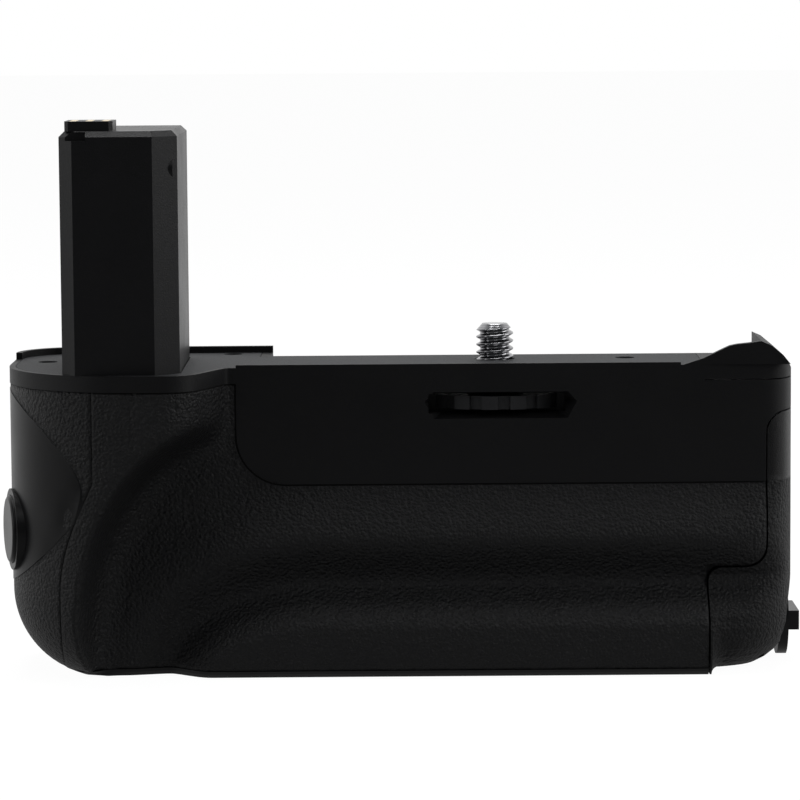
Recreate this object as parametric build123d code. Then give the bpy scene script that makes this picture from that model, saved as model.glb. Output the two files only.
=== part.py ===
from build123d import *
import math
import os

# Battery grip for a small mirrorless camera: a dummy battery stalk, a thumb wheel with the camera screw,
# a shutter button at the left end, and a tray for two flat batteries that slides out of the right end.
# All lengths are in millimetres. The origin is the axis of the camera screw on the top plate,
# +X runs to the lock knob end, +Y to the photographer, +Z up to the camera.

# Casing: how far the outside lies from the screw axis and how its sides round off
left_reach = 80.2
right_reach = 48.8
body_height = 50.6
panel_reach = 13.8
bulge_reach = 27.5
back_reach = 14.8
parting_y = 4.5
wall = 1.8
rim_wall = 1.0
skin_seat = 1.0
skin_thickness = 0.9
small_gap = 0.1
overrun = 3.0
left_round = 22.0
left_start = 5.5
left_low_round = 14.0
left_low_shift = 4.0
right_round = 14.0
right_start = 5.0
right_low_round = 9.0
right_blend = 3.0
right_draft = 0.5
right_draft_x = 31.0
right_draft_run = 16.0
back_left_round = 10.0
back_right_round = 6.0
back_low_round = 3.0
least_round = 2.0
least_mark = 0.3
least_points = 3
curve_breaks = (10, 16, 22, 28, 38, 48)

# Hand grip bulge, the finger scoop under it, and the belly and ridge across the front
bulge_flat_end = 54.0
flank_round = 6.2
flank_fillet = 1.5
flank_degrees = 68.0
scoop_round = 2.6
scoop_fillet = 5.5
scoop_degrees = 72.0
scoop_x = 40.0
scoop_z = 47.0
scoop_width = 31.5
scoop_height = 41.5
scoop_power = 2.2
ridge_end_x = 28.1
ridge_end_width = 24.7
ridge_height = 14.1
ridge_stand = 5.4
ridge_lift = 1.6
ridge_lift_x = 38.0
ridge_lift_run = 12.0
ridge_foot = 1.0
ridge_shoulder = 6.0
ridge_lean_z = 44.0
ridge_lean_share = 0.2
ridge_curve_share = 0.75
belly_stand = 3.0
belly_crest = 8.6
belly_foot = 17.7
groove_foot = 1.2
belly_fade_x = 60.0
belly_fade_run = 22.0
belly_fade_share = 0.45
low_edge = 2.0
low_edge_draw = 1.2

# Seams on the casing
band_depth = 2.6
panel_left_x = 42.6
panel_bottom = 19.2
panel_corner = 8.0
end_seam_x = 65.3
end_seam_top = 17.4
end_seam_low_x = 71.0
end_seam_low = 36.0
skin_low = 49.4
lip_rise = 0.45
lip_end_x = 30.0
lip_depth = 0.8
rim_rise = 1.1
rim_end_x = 37.4
screen_cut_y = 7.2
screen_cut_depth = 9.0
ledge_start_y = 5.0

# Battery, tray, chamber and the door on the tray's end
battery_length = 43.4
battery_height = 31.8
battery_depth = 18.5
battery_play = 0.4
tray_wall = 1.1
tray_end_wall = 1.2
tray_x = 53.4
tray_y = 9.7
tray_bottom = 47.2
chamber_gap = 0.35
chamber_wall = 1.15
chamber_mouth_x = 42.8
cam_space = 1.6
cam_play = 0.3
tray_end_plate = 1.4
door_seam_x = 44.0
door_top = 7.7
door_step = 33.2
door_low_x = 34.3
door_gap = 0.2
door_corner = 3.4
door_step_corner = 2.2
corner_step = 15
corner_count = 6

# Cap that wraps the camera's end
cap_left_x = 34.0
cap_wall_x = 43.4
cap_peak = 3.9
cap_back_y = 6.4
cap_front_wall = 1.05
cap_seam = 0.2
cap_slope_x = 43.4
cap_profile = [
    (30.4, 0.0),
    (33.8, 1.1),
    (35.9, 2.1),
    (38.0, 3.06),
    (39.2, 3.3),
    (41.3, 3.5),
    (43.1, 3.8),
    (44.9, 3.0),
    (46.7, 1.5),
    (48.0, -0.1),
    (48.8, -1.4),
    (48.8, -2.6),
    (30.4, -2.6),
]

# Lock knob
knob_y = 0.0
knob_z = 43.6
knob_radius = 6.4
knob_pocket_depth = 2.0
knob_pocket_radius = 10.5
knob_disc = 1.6
wing_length = 11.0
wing_width = 3.2
wing_stand = 1.8
lock_shaft_radius = 2.0
shaft_play = 0.05
finger_length = 5.0
finger_width = 3.4
finger_thickness = 1.0
finger_slot_front_y = 3.0
finger_slot_back_y = 5.6
finger_hub_radius = 3.0
cavity_gap = 0.3
door_floor = 1.7
door_screw_places = [(-6.5, 16.5), (7.0, 16.5), (-6.5, 32.0), (7.0, 36.0)]
door_screw_length = 3.6
ridge_cavity_x = 36.0
ridge_cavity_y = 13.2
ridge_cavity_top = 40.0
ridge_cavity_low = 46.6

# Camera screw and thumb wheel
thread_radius = 3.1
thread_root_radius = 2.45
thread_pitch = 1.27
thread_crest = 0.36
screw_stand = 5.9
screw_turns = 5
screw_clearance = 0.2
wheel_radius = 13.6
wheel_root_radius = 12.9
wheel_top = 5.0
wheel_thickness = 2.2
wheel_teeth = 18
tooth_share = 0.56
hub_radius = 4.6
hub_top = 1.9
shank_radius = 2.4
shank_bottom = 10.4
bracket_top = 8.2
bracket_thickness = 1.0
bracket_half_length = 18.8
bracket_half_width = 6.0
bracket_screw_x = 16.6
bush_radius = 3.4
bush_flange_radius = 4.4
bush_flange = 0.45
clip_radius = 3.9
clip_thickness = 0.6
run_gap = 0.05
face_gap = 0.1

# Window in the front panel and the one behind it in the back casing
window_x = 0.6
window_half_width = 11.6
window_tip = 1.5
window_tip_drop = 1.9
window_top = 3.9
window_height = 5.0
window_bevel = 2.4
window_slope = 0.5
window_depth = 4.2
shroud_wall = 1.2
wheel_slot_half_width = 11.2
wheel_slot_gap = 0.5
rear_window_half_width = 11.9

# Top plate
plate_thickness = 1.6
plate_gap = 0.1
plate_screw_radius = 1.5
plate_screw_shank = 0.8
plate_screw_length = 5.0
plate_screw_sink = 0.3
plate_screw_head = 0.8
small_boss_radius = 2.0
boss_radius = 2.4
boss_length = 5.0
rib = 1.2
plate_screw_left_x = 74.4
plate_screw_left_y = 0.5
plate_screw_mid_x = 44.1
plate_screw_mid_y = 11.4
plate_screw_right_x = 21.7

# Dummy battery stalk
stalk_left_x = 70.0
stalk_right_x = 51.2
stalk_front_y = 25.6
stalk_back_y = 6.2
stalk_height = 39.0
stalk_split_x = 64.0
stalk_right_chamfer = 3.8
stalk_left_chamfer = 2.2
stalk_wall = 1.4
stalk_top_chamfer = 0.9
stalk_play = 0.15
flange_top = 1.7
flange_thickness = 1.5
flange_side = 4.4
flange_front_y = 14.0
flange_back_y = 4.0
flange_screw_x = 48.9
flange_screw_y = (10.5, -0.5)
flange_screw_length = 2.6
peg_radius = 0.8
peg_tube_radius = 1.8
peg_length = 5.0
peg_places = [(21.4, 33.0), (-2.6, 6.0)]
stalk_board_x = 61.5
stalk_board_front_y = 18.4
stalk_board_back_y = 0.4
stalk_board_top = 35.0
stalk_board_bottom = 8.0
stalk_rib_y = 9.0
stalk_rib_low = 5.0
stalk_rib_high = 30.0
terminal_width = 7.7
terminal_depth = 9.0
terminal_rise = 1.6
terminal_inset = 1.2
terminal_left_x = 69.0
terminal_foot = 2.4
terminal_foot_inset = 1.0
notch_depth = 1.4
notch_width = 4.4
notch_cut = 1.1
terminal_chamfer = 0.6
terminal_contact_inset = 0.9
stalk_contact_width = 1.1
stalk_contact_thickness = 0.3
stalk_board_thickness = 1.0

# Shutter button and its end panel
panel_centre_y = 6.0
panel_centre_z = 19.4
panel_half_width = 19.7
panel_half_height = 16.0
panel_lip = 1.2
panel_lip_thickness = 1.0
panel_inner_x = 66.5
panel_back_inner_x = 72.0
button_degrees = 14.0
button_z = 26.6
button_radius = 5.6
button_stand = 1.0
button_travel = 0.9
button_depth = 1.2
button_play = 0.08
bezel_radius = 6.7
bezel_stand = 0.4
bezel_depth = 3.6
bezel_floor = 0.9
stem_radius = 1.2
stem_length = 4.0
stem_gap = 0.05
button_clip_radius = 2.1
button_clip_thickness = 0.5
spring_thickness = 0.22
spring_inner_radius = 2.4
spring_outer_radius = 4.2
tact_size = 6.0
tact_height = 3.4
tact_button_radius = 1.1
tact_button_height = 1.0
shutter_board_width = 11.0
shutter_board_up = 10.4
shutter_board_down = 8.6
board_post_radius = 1.5
post_across = 4.0
post_up = 7.6
board_thickness = 1.2
board_screw_length = 2.2

# Power switch on the back, and the jack for a wired remote
switch_x = 62.0
switch_z = 15.0
switch_length = 7.0
switch_width = 4.0
switch_stand = 0.6
switch_plate = 0.8
switch_plate_length = 12.0
switch_plate_width = 6.0
switch_travel = 3.0
switch_body_depth = 3.4
switch_body_left_x = 69.0
switch_body_right_x = 55.4
switch_body_width = 7.0
switch_gap = 0.2
jack_x = 66.0
jack_z = 30.0
jack_radius = 1.25
jack_body = 5.0
jack_body_depth = 9.2
jack_depth = 9.0
jack_ring_radius = 2.6

# Boards, contacts and the tripod socket
main_board_x = 57.2
main_board_front_y = 10.0
main_board_back_y = 8.0
main_board_top = 14.0
main_board_bottom = 42.0
board_screw_y = 7.0
board_screw_z = (17.0, 39.0)
contact_count = 3
contact_pitch = 4.2
contact_width = 1.6
contact_thickness = 0.4
contact_block_height = 6.0
contact_block_depth = 14.4
contact_block_length = 2.25
contact_z = 24.0
battery_spring_thickness = 0.3
battery_spring_width = 8.0
battery_spring_bow = 1.6
socket_x = 60.5
socket_y = 2.5
socket_radius = 2.6
socket_outer_radius = 4.2
socket_flange_radius = 5.0
socket_top = 1.0
socket_flange = 1.2
socket_length = 8.0

# Screws that hold the casing together, from the back
case_screw_radius = 1.6
case_screw_shank = 0.9
case_screw_length = 9.0
case_boss_radius = 2.6
case_screw_head = 1.1
case_head_y = 9.0
envelope_share = 0.6
case_screw_places = [(73.0, 41.0), (60.0, 8.5), (47.0, 7.2), (-38.0, 6.4)]
small_screw_radius = 1.3
small_screw_shank = 0.7
small_screw_head = 0.8
small_screw_length = 4.0
slot_width_share = 0.28
slot_depth_share = 0.5
cross_share = 1.5
rear_skin_left = 52.0
rear_skin_right = 30.0
rear_skin_top = 14.0
rear_skin_bottom = 45.0
rear_skin_corner = 5.0


# Places that follow from the values above
tray_back_y = battery_depth + battery_play + tray_wall - tray_y
tray_top_z = battery_height + battery_play + 2 * tray_wall - tray_bottom
bay_length = battery_length + contact_thickness + battery_spring_bow
bay_starts = [tray_end_wall - tray_x, 2 * tray_end_wall + bay_length - tray_x]
cam_x = bay_starts[1] + bay_length + tray_end_wall
tray_end_x = cam_x + cam_space + tray_end_plate
knob_floor_x = right_reach - knob_pocket_depth
button_turn = math.radians(button_degrees)
button_out = (-math.cos(button_turn), -math.sin(button_turn), 0)
button_x = left_round - left_reach + left_round * button_out[0]
button_y = -left_start + left_round * button_out[1]


def smooth(share):
    """Ease from 0 to 1 with level ends."""
    share = min(max(share, 0.0), 1.0)
    return share * share * (3 - 2 * share)


def step_share(run, drop, crown, foot, degrees):
    """Share of a drop that is left after a run across an edge: an arc, a slope and an arc."""
    angle = math.radians(degrees)
    slope_length = (drop - (crown + foot) * (1 - math.cos(angle))) / math.sin(angle)
    full_run = (crown + foot) * math.sin(angle) + slope_length * math.cos(angle)
    if run <= 0:
        return 1.0
    if run >= full_run:
        return 0.0
    if run < crown * math.sin(angle):
        return 1 - (crown - math.sqrt(crown**2 - run**2)) / drop
    left = full_run - run
    if left < foot * math.sin(angle):
        return (foot - math.sqrt(foot**2 - left**2)) / drop
    fallen = crown * (1 - math.cos(angle)) + (run - crown * math.sin(angle)) * math.tan(angle)
    return 1 - fallen / drop


def ellipse_distance(u, v, width, height, power):
    """Rough distance outward from a superellipse, for a point given by its shares of width and height."""
    size = (u**power + v**power) ** (1 / power)
    if size == 0:
        return -min(width, height)
    slope = math.hypot((u / size) ** (power - 1) / width, (v / size) ** (power - 1) / height)
    return (size - 1) / slope


def scoop_depth(x, z):
    """Distance inside the lower edge of the hand grip bulge."""
    u = max(-scoop_x - x, 0.0) / scoop_width
    v = max(z + scoop_z, 0.0) / scoop_height
    return -ellipse_distance(u, v, scoop_width, scoop_height, scoop_power)


def ridge_distance(x, z):
    """Distance above the upper edge of the ridge along the bottom."""
    if x > -ridge_end_x:
        return z + body_height - ridge_height - ridge_lift * smooth((x - ridge_lift_x) / ridge_lift_run)
    u = (-ridge_end_x - x) / ridge_end_width
    v = max(z + body_height, 0.0) / ridge_height
    return ellipse_distance(u, v, ridge_end_width, ridge_height, 2)


def relief(x, z):
    """How far the front stands forward of the screw axis at a place."""
    drop = bulge_reach - panel_reach
    flank = step_share(x + bulge_flat_end, drop, flank_round, flank_fillet, flank_degrees)
    above = step_share(scoop_depth(x, z), drop, scoop_round, scoop_fillet, scoop_degrees)
    height = ridge_distance(x, z)
    rise = smooth((belly_foot - height) / (belly_foot - belly_crest))
    fall = smooth((height - groove_foot) / (belly_crest - groove_foot))
    fade = belly_fade_share + (1 - belly_fade_share) * smooth((x + belly_fade_x) / belly_fade_run)
    ridge = smooth((ridge_foot - height) / (ridge_foot + ridge_shoulder)) ** ridge_curve_share
    lean = max(-z - ridge_lean_z, 0.0) / (body_height - ridge_lean_z)
    swell = belly_stand * fade * rise * fall + ridge_stand * ridge * (1 - ridge_lean_share * lean**2)
    low = min(max((low_edge - z - body_height) / low_edge, 0.0), 1.0)
    draft = right_draft * smooth((x - right_draft_x) / right_draft_run)
    return panel_reach + drop * flank * above + swell * (1 - above) - low_edge_draw * low**2 - draft


def relief_inside(x, z, inset):
    """The same front, a wall thickness further in."""
    if inset == 0:
        return relief(x, z)
    reaches = [relief(x, z) - inset]
    for share in (0.5, 0.9):
        for turn in range(12):
            across = x + inset * share * math.cos(math.radians(30 * turn))
            up = z + inset * share * math.sin(math.radians(30 * turn))
            reaches.append(relief(across, up) - inset * math.sqrt(1 - share**2))
    return min(reaches)


def drawn_in(z, low_round, inset):
    """How far a side has drawn in at a height, above and along its low corner."""
    depth = -z - (body_height - low_round)
    if depth <= 0:
        return inset
    return low_round - math.sqrt(max((low_round - inset) ** 2 - depth**2, 0.0))


def soft_least(one, other, blend):
    """The smaller of two reaches, blended where they are near each other."""
    near = max(blend - abs(one - other), 0.0) / blend
    return min(one, other) - near**2 * blend / 4


def ends_at(z, inset):
    """Left, right and back limits of the casing at a height."""
    left = -left_reach + drawn_in(z, left_low_round, inset)
    right = right_reach - drawn_in(z, right_low_round, inset)
    back = back_reach - drawn_in(z, back_low_round, inset)
    return left, right, back


def left_arc(z, inset):
    """Radius and starting reach of the rounded left end at a height."""
    drawn = drawn_in(z, left_low_round, inset)
    return left_round - drawn, left_start + left_low_shift * (drawn - inset) / left_low_round


def front_reach(x, z, inset):
    """Reach of the front with the rounded ends included."""
    left, right, _ = ends_at(z, inset)
    radius, start = left_arc(z, inset)
    reach = relief_inside(x, z, inset)
    if x < left + radius:
        arc = start + math.sqrt(max(radius**2 - (left + radius - x) ** 2, 0.0))
        reach = soft_least(reach, arc, rim_wall)
    corner = right_round - (right_reach - right)
    if x > right - corner:
        arc = right_start + math.sqrt(max(corner**2 - (x - right + corner) ** 2, 0.0))
        reach = soft_least(reach, arc, right_blend)
    return reach


def spaced(first, last, count):
    """Evenly spaced values from first up to, but not with, last."""
    return [first + (last - first) * step / count for step in range(count)]


def front_stations(z, inset):
    """Places along the front at a height, the same number and order at every height."""
    left, right, _ = ends_at(z, inset)
    radius, _ = left_arc(z, inset)
    corner = right_round - (right_reach - right)
    turns = [math.radians(9 * step) for step in range(10)]
    places = [left + radius * (1 - math.cos(turn)) for turn in turns]
    places += spaced(left + radius, -panel_left_x, 18)
    places += spaced(-panel_left_x, right - corner, 20)
    places += [right - corner + corner * math.sin(turn) for turn in turns]
    places.append(right)
    return list(enumerate(places))


def mark_at(stations, x):
    """Where a place lies in the count of stations."""
    for (mark, low), (_, high) in zip(stations, stations[1:]):
        if low <= x <= high:
            return mark + (x - low) / (high - low)
    return stations[-1][0]


def front_points(z, inset, from_x, to_x):
    """Points of the front at a height with their marks. No limit means the whole rounded end."""
    stations = front_stations(z, inset)
    _, start = left_arc(z, inset)
    kept = stations
    if from_x is not None:
        first = mark_at(stations, from_x)
        kept = [(first, from_x)] + [pair for pair in kept if pair[0] > first + least_mark]
    if to_x is not None:
        last = mark_at(stations, to_x)
        kept = [pair for pair in kept if pair[0] < last - least_mark] + [(last, to_x)]
    points = [(x, -front_reach(x, z, inset), z) for _, x in kept]
    if from_x is None:
        points[0] = (stations[0][1], -start, z)
    if to_x is None:
        points[-1] = (stations[-1][1], -right_start, z)
    return points, [mark for mark, _ in kept]


def front_path(z, inset, from_x, to_x):
    """Pieces of the front outline at a height, each a kind with its points and their marks."""
    points, marks = front_points(z, inset, from_x, to_x)
    path = []
    first = 0
    for last in range(1, len(marks)):
        if last == len(marks) - 1 or (last - first >= least_points and marks[last] in curve_breaks):
            path.append(("curve", points[first : last + 1], marks[first : last + 1]))
            first = last
    if from_x is None:
        path.insert(0, ("line", [(points[0][0], parting_y, z), points[0]], None))
    if to_x is None:
        path.append(("line", [points[-1], (points[-1][0], parting_y, z)], None))
    return path


def back_path(z, inset, from_x, to_x):
    """Pieces of the back outline at a height, from left to right."""
    left, right, back = ends_at(z, inset)
    turn = math.sqrt(0.5)
    path = []
    start = (from_x, back, z)
    if from_x is None:
        radius = max(back_left_round - (left + left_reach), least_round)
        start = (left + radius, back, z)
        middle = (left + radius * (1 - turn), back - radius * (1 - turn), z)
        path.append(("line", [(left, parting_y, z), (left, back - radius, z)], None))
        path.append(("arc", [(left, back - radius, z), middle, start], None))
    if to_x is not None:
        return path + [("line", [start, (to_x, back, z)], None)]
    radius = max(back_right_round - (right_reach - right), least_round)
    end = (right - radius, back, z)
    middle = (right - radius * (1 - turn), back - radius * (1 - turn), z)
    path.append(("line", [start, end], None))
    path.append(("arc", [end, middle, (right, back - radius, z)], None))
    path.append(("line", [(right, back - radius, z), (right, parting_y, z)], None))
    return path


def drawn(kind, points, marks):
    """An edge of an outline. Marks keep its points in step from height to height."""
    if kind == "line":
        return Line(points[0], points[-1])
    if kind == "arc":
        return ThreePointArc(*points)
    span = marks[-1] - marks[0]
    return Edge.make_spline(points, parameters=[(mark - marks[0]) / span for mark in marks])


def closed(path):
    """A closed wire from pieces that meet end to end, closed by a line."""
    edges = [drawn(*piece) for piece in path]
    edges.append(Line(path[-1][1][-1], path[0][1][0]))
    return Wire([edge for group in edges for edge in group.edges()])


def solid_wire(side, z, inset, from_x, to_x):
    """Outline at a height of everything from the parting plane to the outside."""
    path = side(z, inset, from_x, to_x)
    first = path[0][1][0]
    last = path[-1][1][-1]
    start = (first[0], parting_y, z)
    end = (last[0], parting_y, z)
    if from_x is not None:
        path = [("line", [start, first], None)] + path
    if to_x is not None:
        path = path + [("line", [last, end], None)]
    return closed(path)


def levels(top, bottom):
    """Heights of the sections between two heights, closer together round the low corners."""
    straight = body_height - left_low_round
    count = 18
    marks = [-straight * step / count for step in range(count + 1)]
    marks += [-straight - left_low_round * math.sin(math.radians(9 * step)) for step in range(1, 11)]
    least = low_edge / 8
    inner = [mark for mark in marks if bottom + least < mark < top - least]
    return [top] + inner + [bottom]


def along(limit, z):
    """A limit that may follow the height."""
    return limit(z) if callable(limit) else limit


def full_piece(side, top, bottom, inset, from_x=None, to_x=None):
    """Everything from the parting plane to the outside, from one height to another."""
    wires = [solid_wire(side, z, inset, along(from_x, z), along(to_x, z)) for z in levels(top, bottom)]
    return Solid.make_loft(wires, True)


def box(low, high):
    """A block between two corners."""
    size = [end - start for start, end in zip(low, high)]
    middle = [(end + start) / 2 for start, end in zip(low, high)]
    return Pos(*middle) * Box(*size)


def rod(start, direction, radius, length):
    """A round bar from a point along a direction."""
    place = Plane(origin=start, z_dir=direction)
    return place * Cylinder(radius, length, align=(Align.CENTER, Align.CENTER, Align.MIN))


def slab(points, plane, low, high):
    """A prism of an outline on a plane, from low to high along its normal."""
    face = make_face(Polyline(*points, close=True))
    return plane * Pos(0, 0, low) * extrude(face, high - low)


def front_plane():
    """Looked at from the front: outline x and z, with the depth running forward."""
    return Plane(origin=(0, 0, 0), x_dir=(1, 0, 0), z_dir=(0, -1, 0))


def side_plane():
    """Outline y and z, with the depth running to the right."""
    return Plane(origin=(0, 0, 0), x_dir=(0, 1, 0), z_dir=(1, 0, 0))


def joined(pieces):
    """Pieces fused to one."""
    whole = pieces[0]
    for piece in pieces[1:]:
        whole = whole + piece
    return whole


def panel_edge(z):
    """Left edge of the smooth front panel, with its rounded lower corner."""
    depth = max(-z - (panel_bottom - panel_corner), 0.0)
    return -panel_left_x + panel_corner - math.sqrt(max(panel_corner**2 - depth**2, 0.0))


def end_seam(z):
    """The seam between the cover of the left end and the cover of the front."""
    share = min(max((-z - end_seam_top) / (end_seam_low - end_seam_top), 0.0), 1.0)
    return -end_seam_x - (end_seam_low_x - end_seam_x) * math.sin(math.radians(90 * share))


def door_seam(z):
    """Left edge of the door above its step, with its rounded corners."""
    low = max(-z - (door_step - door_corner), 0.0)
    high = max(door_top + door_corner + z, 0.0)
    turned = door_corner - math.sqrt(max(door_corner**2 - max(low, high) ** 2, 0.0))
    return door_seam_x - turned if low > 0 else door_seam_x + turned


def door_levels():
    """Heights along the door's seam, closer together round its two corners."""
    turns = [math.radians(corner_step * count) for count in range(corner_count + 1)]
    drops = [door_corner * (1 - math.cos(turn)) for turn in turns]
    return [-door_top - drop for drop in drops] + [drop - door_step for drop in reversed(drops)]


def door_block(gap):
    """Everything to the right of the door's seam, a gap away from it."""
    top = -door_top - gap
    step = -door_step - gap
    outer = right_reach + overrun
    low_x = door_low_x + gap
    points = [(outer, top)] + [(door_seam(z) + gap, z - gap) for z in door_levels()]
    for count in range(corner_count + 1):
        turn = math.radians(corner_step * count)
        across = door_step_corner * (1 - math.sin(turn))
        points.append((low_x + across, step - door_step_corner * (1 - math.cos(turn))))
    points += [(low_x, -body_height - overrun), (outer, -body_height - overrun)]
    return slab(points, front_plane(), -back_reach - overrun, bulge_reach)


def proud_block(gap):
    """Where the casing stands proud of the covers: the band along the top and the smooth panel."""
    outer_left = -left_reach - overrun
    outer_right = right_reach + overrun
    band = -band_depth - gap
    bottom = -panel_bottom - gap
    points = [(outer_left, overrun), (outer_left, band)]
    points += [(panel_edge(z) - gap, z) for z in levels(band, bottom)]
    points += [(outer_right, bottom), (outer_right, overrun)]
    return slab(points, front_plane(), -parting_y, bulge_reach + overrun)


def ellipse_bar(grow):
    """The oval outline of the left end panel as a bar along X, no deeper than the rounded end."""
    face = Ellipse(panel_half_width + grow, panel_half_height + grow)
    start = -left_reach - overrun
    place = side_plane() * Pos(-panel_centre_y, -panel_centre_z, start)
    bar = place * extrude(face, -panel_inner_x - start)
    behind = box((-panel_back_inner_x, parting_y, -body_height), (-panel_inner_x, back_reach + overrun, 0))
    return bar - behind


def front_outside():
    """Outside of the front half: the band and the smooth panel stand proud of the seat of the covers."""
    body = full_piece(front_path, 0, -body_height, skin_seat)
    proud = full_piece(front_path, lip_rise, -panel_bottom, 0) & proud_block(0)
    far_left = -left_reach - overrun
    above = box((far_left, -bulge_reach - overrun, 0), (right_reach + overrun, back_reach, overrun))
    lip_room = box((-panel_left_x, -bulge_reach, 0), (lip_end_x, 0, overrun))
    body = body + (proud - (above - (lip_room - full_piece(front_path, overrun, -overrun, lip_depth))))
    return body + full_piece(front_path, -skin_low, -body_height, 0)


def hexagon(grow, depth):
    """The outline of the wheel window at a depth behind the front panel."""
    left = window_x - window_half_width - grow
    right = window_x + window_half_width + grow
    top = -window_top + grow * window_slope
    bottom = -(window_top + window_height) - grow * window_slope
    tip = -window_top - window_tip_drop
    y = -panel_reach + depth
    points = [
        (left, y, top),
        (right, y, top),
        (right + window_tip, y, tip),
        (right, y, bottom),
        (left, y, bottom),
        (left - window_tip, y, tip),
    ]
    return Wire([Line(start, end).edges()[0] for start, end in zip(points, points[1:] + points[:1])])


def window_cut():
    """The recess that the thumb wheel shows in, narrower at its back, with a slot for the wheel."""
    outer = hexagon(0, -overrun * window_slope)
    recess = Solid.make_loft([outer, hexagon(-window_bevel, window_depth)], True)
    slot = box(
        (-wheel_slot_half_width, -panel_reach, -(wheel_top + wheel_thickness + wheel_slot_gap)),
        (wheel_slot_half_width, -panel_reach + window_depth + overrun, -(wheel_top - wheel_slot_gap)),
    )
    return recess + slot


def window_shroud():
    """The walls behind the front panel round the wheel window."""
    across = window_half_width + window_tip + shroud_wall
    return box(
        (window_x - across, -panel_reach + wall / 2, -(window_top + window_height + shroud_wall)),
        (window_x + across, -panel_reach + window_depth + shroud_wall, -(window_top - shroud_wall)),
    )


def boss_start(x, z):
    """How far forward a boss of the casing reaches into the front wall."""
    places = [(x, z)]
    for turn in range(8):
        across = case_boss_radius * math.cos(math.radians(45 * turn))
        up = case_boss_radius * math.sin(math.radians(45 * turn))
        places.append((x + across, z + up))
    return min(front_reach(px, pz, wall * window_slope) for px, pz in places)


def tube(start, direction, outer, inner, length):
    """A round bar with a hole along it."""
    return rod(start, direction, outer, length) - rod(start, direction, inner, length)


def screw(seat, direction, head_radius, head_height, shank, length):
    """A screw with a cross recess. The underside of its head is at the seat."""
    place = Plane(origin=seat, z_dir=direction)
    head = place * Cylinder(head_radius, head_height, align=(Align.CENTER, Align.CENTER, Align.MAX))
    width = 2 * slot_width_share * head_radius
    depth = 2 * slot_depth_share * head_height
    length_across = cross_share * head_radius
    cross = Box(length_across, width, depth) + Box(width, length_across, depth)
    return head + rod(seat, direction, shank, length) - place * Pos(0, 0, -head_height) * cross


def small_screw(seat, direction, length):
    """One of the small screws inside the grip."""
    return screw(seat, direction, small_screw_radius, small_screw_head, small_screw_shank, length)


def front_case():
    """The front half of the casing."""
    body = front_outside()
    body = body - full_piece(front_path, overrun, -(body_height - wall), wall)
    body = body - full_piece(front_path, overrun, -plate_thickness, rim_wall)
    body = body - ellipse_bar(0)
    for x, z in case_screw_places:
        reach = boss_start(-x, -z)
        body = body + rod((-x, -reach, -z), (0, 1, 0), case_boss_radius, reach + parting_y)
        pilot = case_screw_length - case_head_y + parting_y
        body = body - rod((-x, parting_y, -z), (0, -1, 0), case_screw_shank, pilot)
    body = body + window_shroud()
    body = body - window_cut()
    under = (-socket_x, -socket_y, -body_height - overrun)
    socket = rod(under, (0, 0, 1), socket_outer_radius, 2 * overrun + wall)
    under_cap = box((cap_left_x, -bulge_reach, -band_depth), (right_reach + overrun, parting_y, overrun))
    return largest(body - socket - under_cap - door_block(0))


def largest(body):
    """The main solid, without the sliver that the oval hole leaves at its front edge."""
    return max(body.solids(), key=lambda solid: solid.volume)


def screen_wedge():
    """The slanted cut behind the camera's screen, as an outline in y and z."""
    slope = screen_cut_depth / (back_reach - screen_cut_y)
    return [
        (screen_cut_y, overrun),
        (screen_cut_y, 0),
        (back_reach, -screen_cut_depth),
        (back_reach + overrun, -screen_cut_depth - overrun * slope),
        (back_reach + overrun, overrun),
    ]


def slanted_wall():
    """The wall behind the slanted cut, the ledge under the plate and the wall at the cut's end."""
    run = back_reach - screen_cut_y
    slope = screen_cut_depth / run
    length = math.hypot(screen_cut_depth, run)
    in_y = wall * screen_cut_depth / length
    in_z = wall * run / length
    inner = back_reach - wall
    inner_z = -in_z - slope * (inner - screen_cut_y + in_y)
    seam_y = screen_cut_y - in_y + (band_depth - in_z) / slope
    foot = [(back_reach, -screen_cut_depth), (back_reach, inner_z - wall)]
    foot += [(inner, inner_z - wall), (inner, inner_z)]
    ledge_y = screen_cut_y - rim_wall
    ledge = [(ledge_y, 0), (screen_cut_y, 0)] + foot
    ledge += [(seam_y, -band_depth), (ledge_start_y, -band_depth), (ledge_start_y, -plate_thickness)]
    ledge += [(ledge_y, -plate_thickness)]
    under_cap = [(screen_cut_y + band_depth / slope, -band_depth)] + foot + [(seam_y, -band_depth)]
    cheek = [(ledge_y, 0), (back_reach - wall / 2, 0), (back_reach - wall / 2, inner_z), (inner, inner_z)]
    pieces = slab(ledge, side_plane(), -rim_end_x - wall, cap_left_x)
    pieces = pieces + slab(under_cap, side_plane(), cap_left_x, right_reach - wall - rim_wall)
    return pieces + slab(cheek, side_plane(), -rim_end_x - wall, -rim_end_x)


def rear_skin(gap, thickness):
    """The cover on the back, or with no gap its seat."""
    width = rear_skin_left + rear_skin_right - 2 * gap
    height = rear_skin_bottom - rear_skin_top - 2 * gap
    outline = RectangleRounded(width, height, rear_skin_corner)
    middle_x = (rear_skin_right - rear_skin_left) / 2
    middle_z = -(rear_skin_top + rear_skin_bottom) / 2
    place = front_plane() * Pos(middle_x, middle_z, skin_seat - thickness - back_reach)
    return place * extrude(outline, thickness)


def switch_cradle():
    """The ledges that hold the body of the power switch."""
    front = inner_back_y() - rim_wall - switch_body_depth
    low = -switch_z - switch_body_width / 2
    high = -switch_z + switch_body_width / 2 - rim_wall
    left = box((-switch_body_left_x - wall, front, low), (-switch_body_left_x, back_reach - wall / 2, high))
    under = box(
        (-switch_body_left_x - wall, front, low - rim_wall),
        (-switch_body_right_x, back_reach - wall / 2, low),
    )
    return left + under


def inner_back_y():
    """The inner face of the back wall."""
    return back_reach - wall


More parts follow.
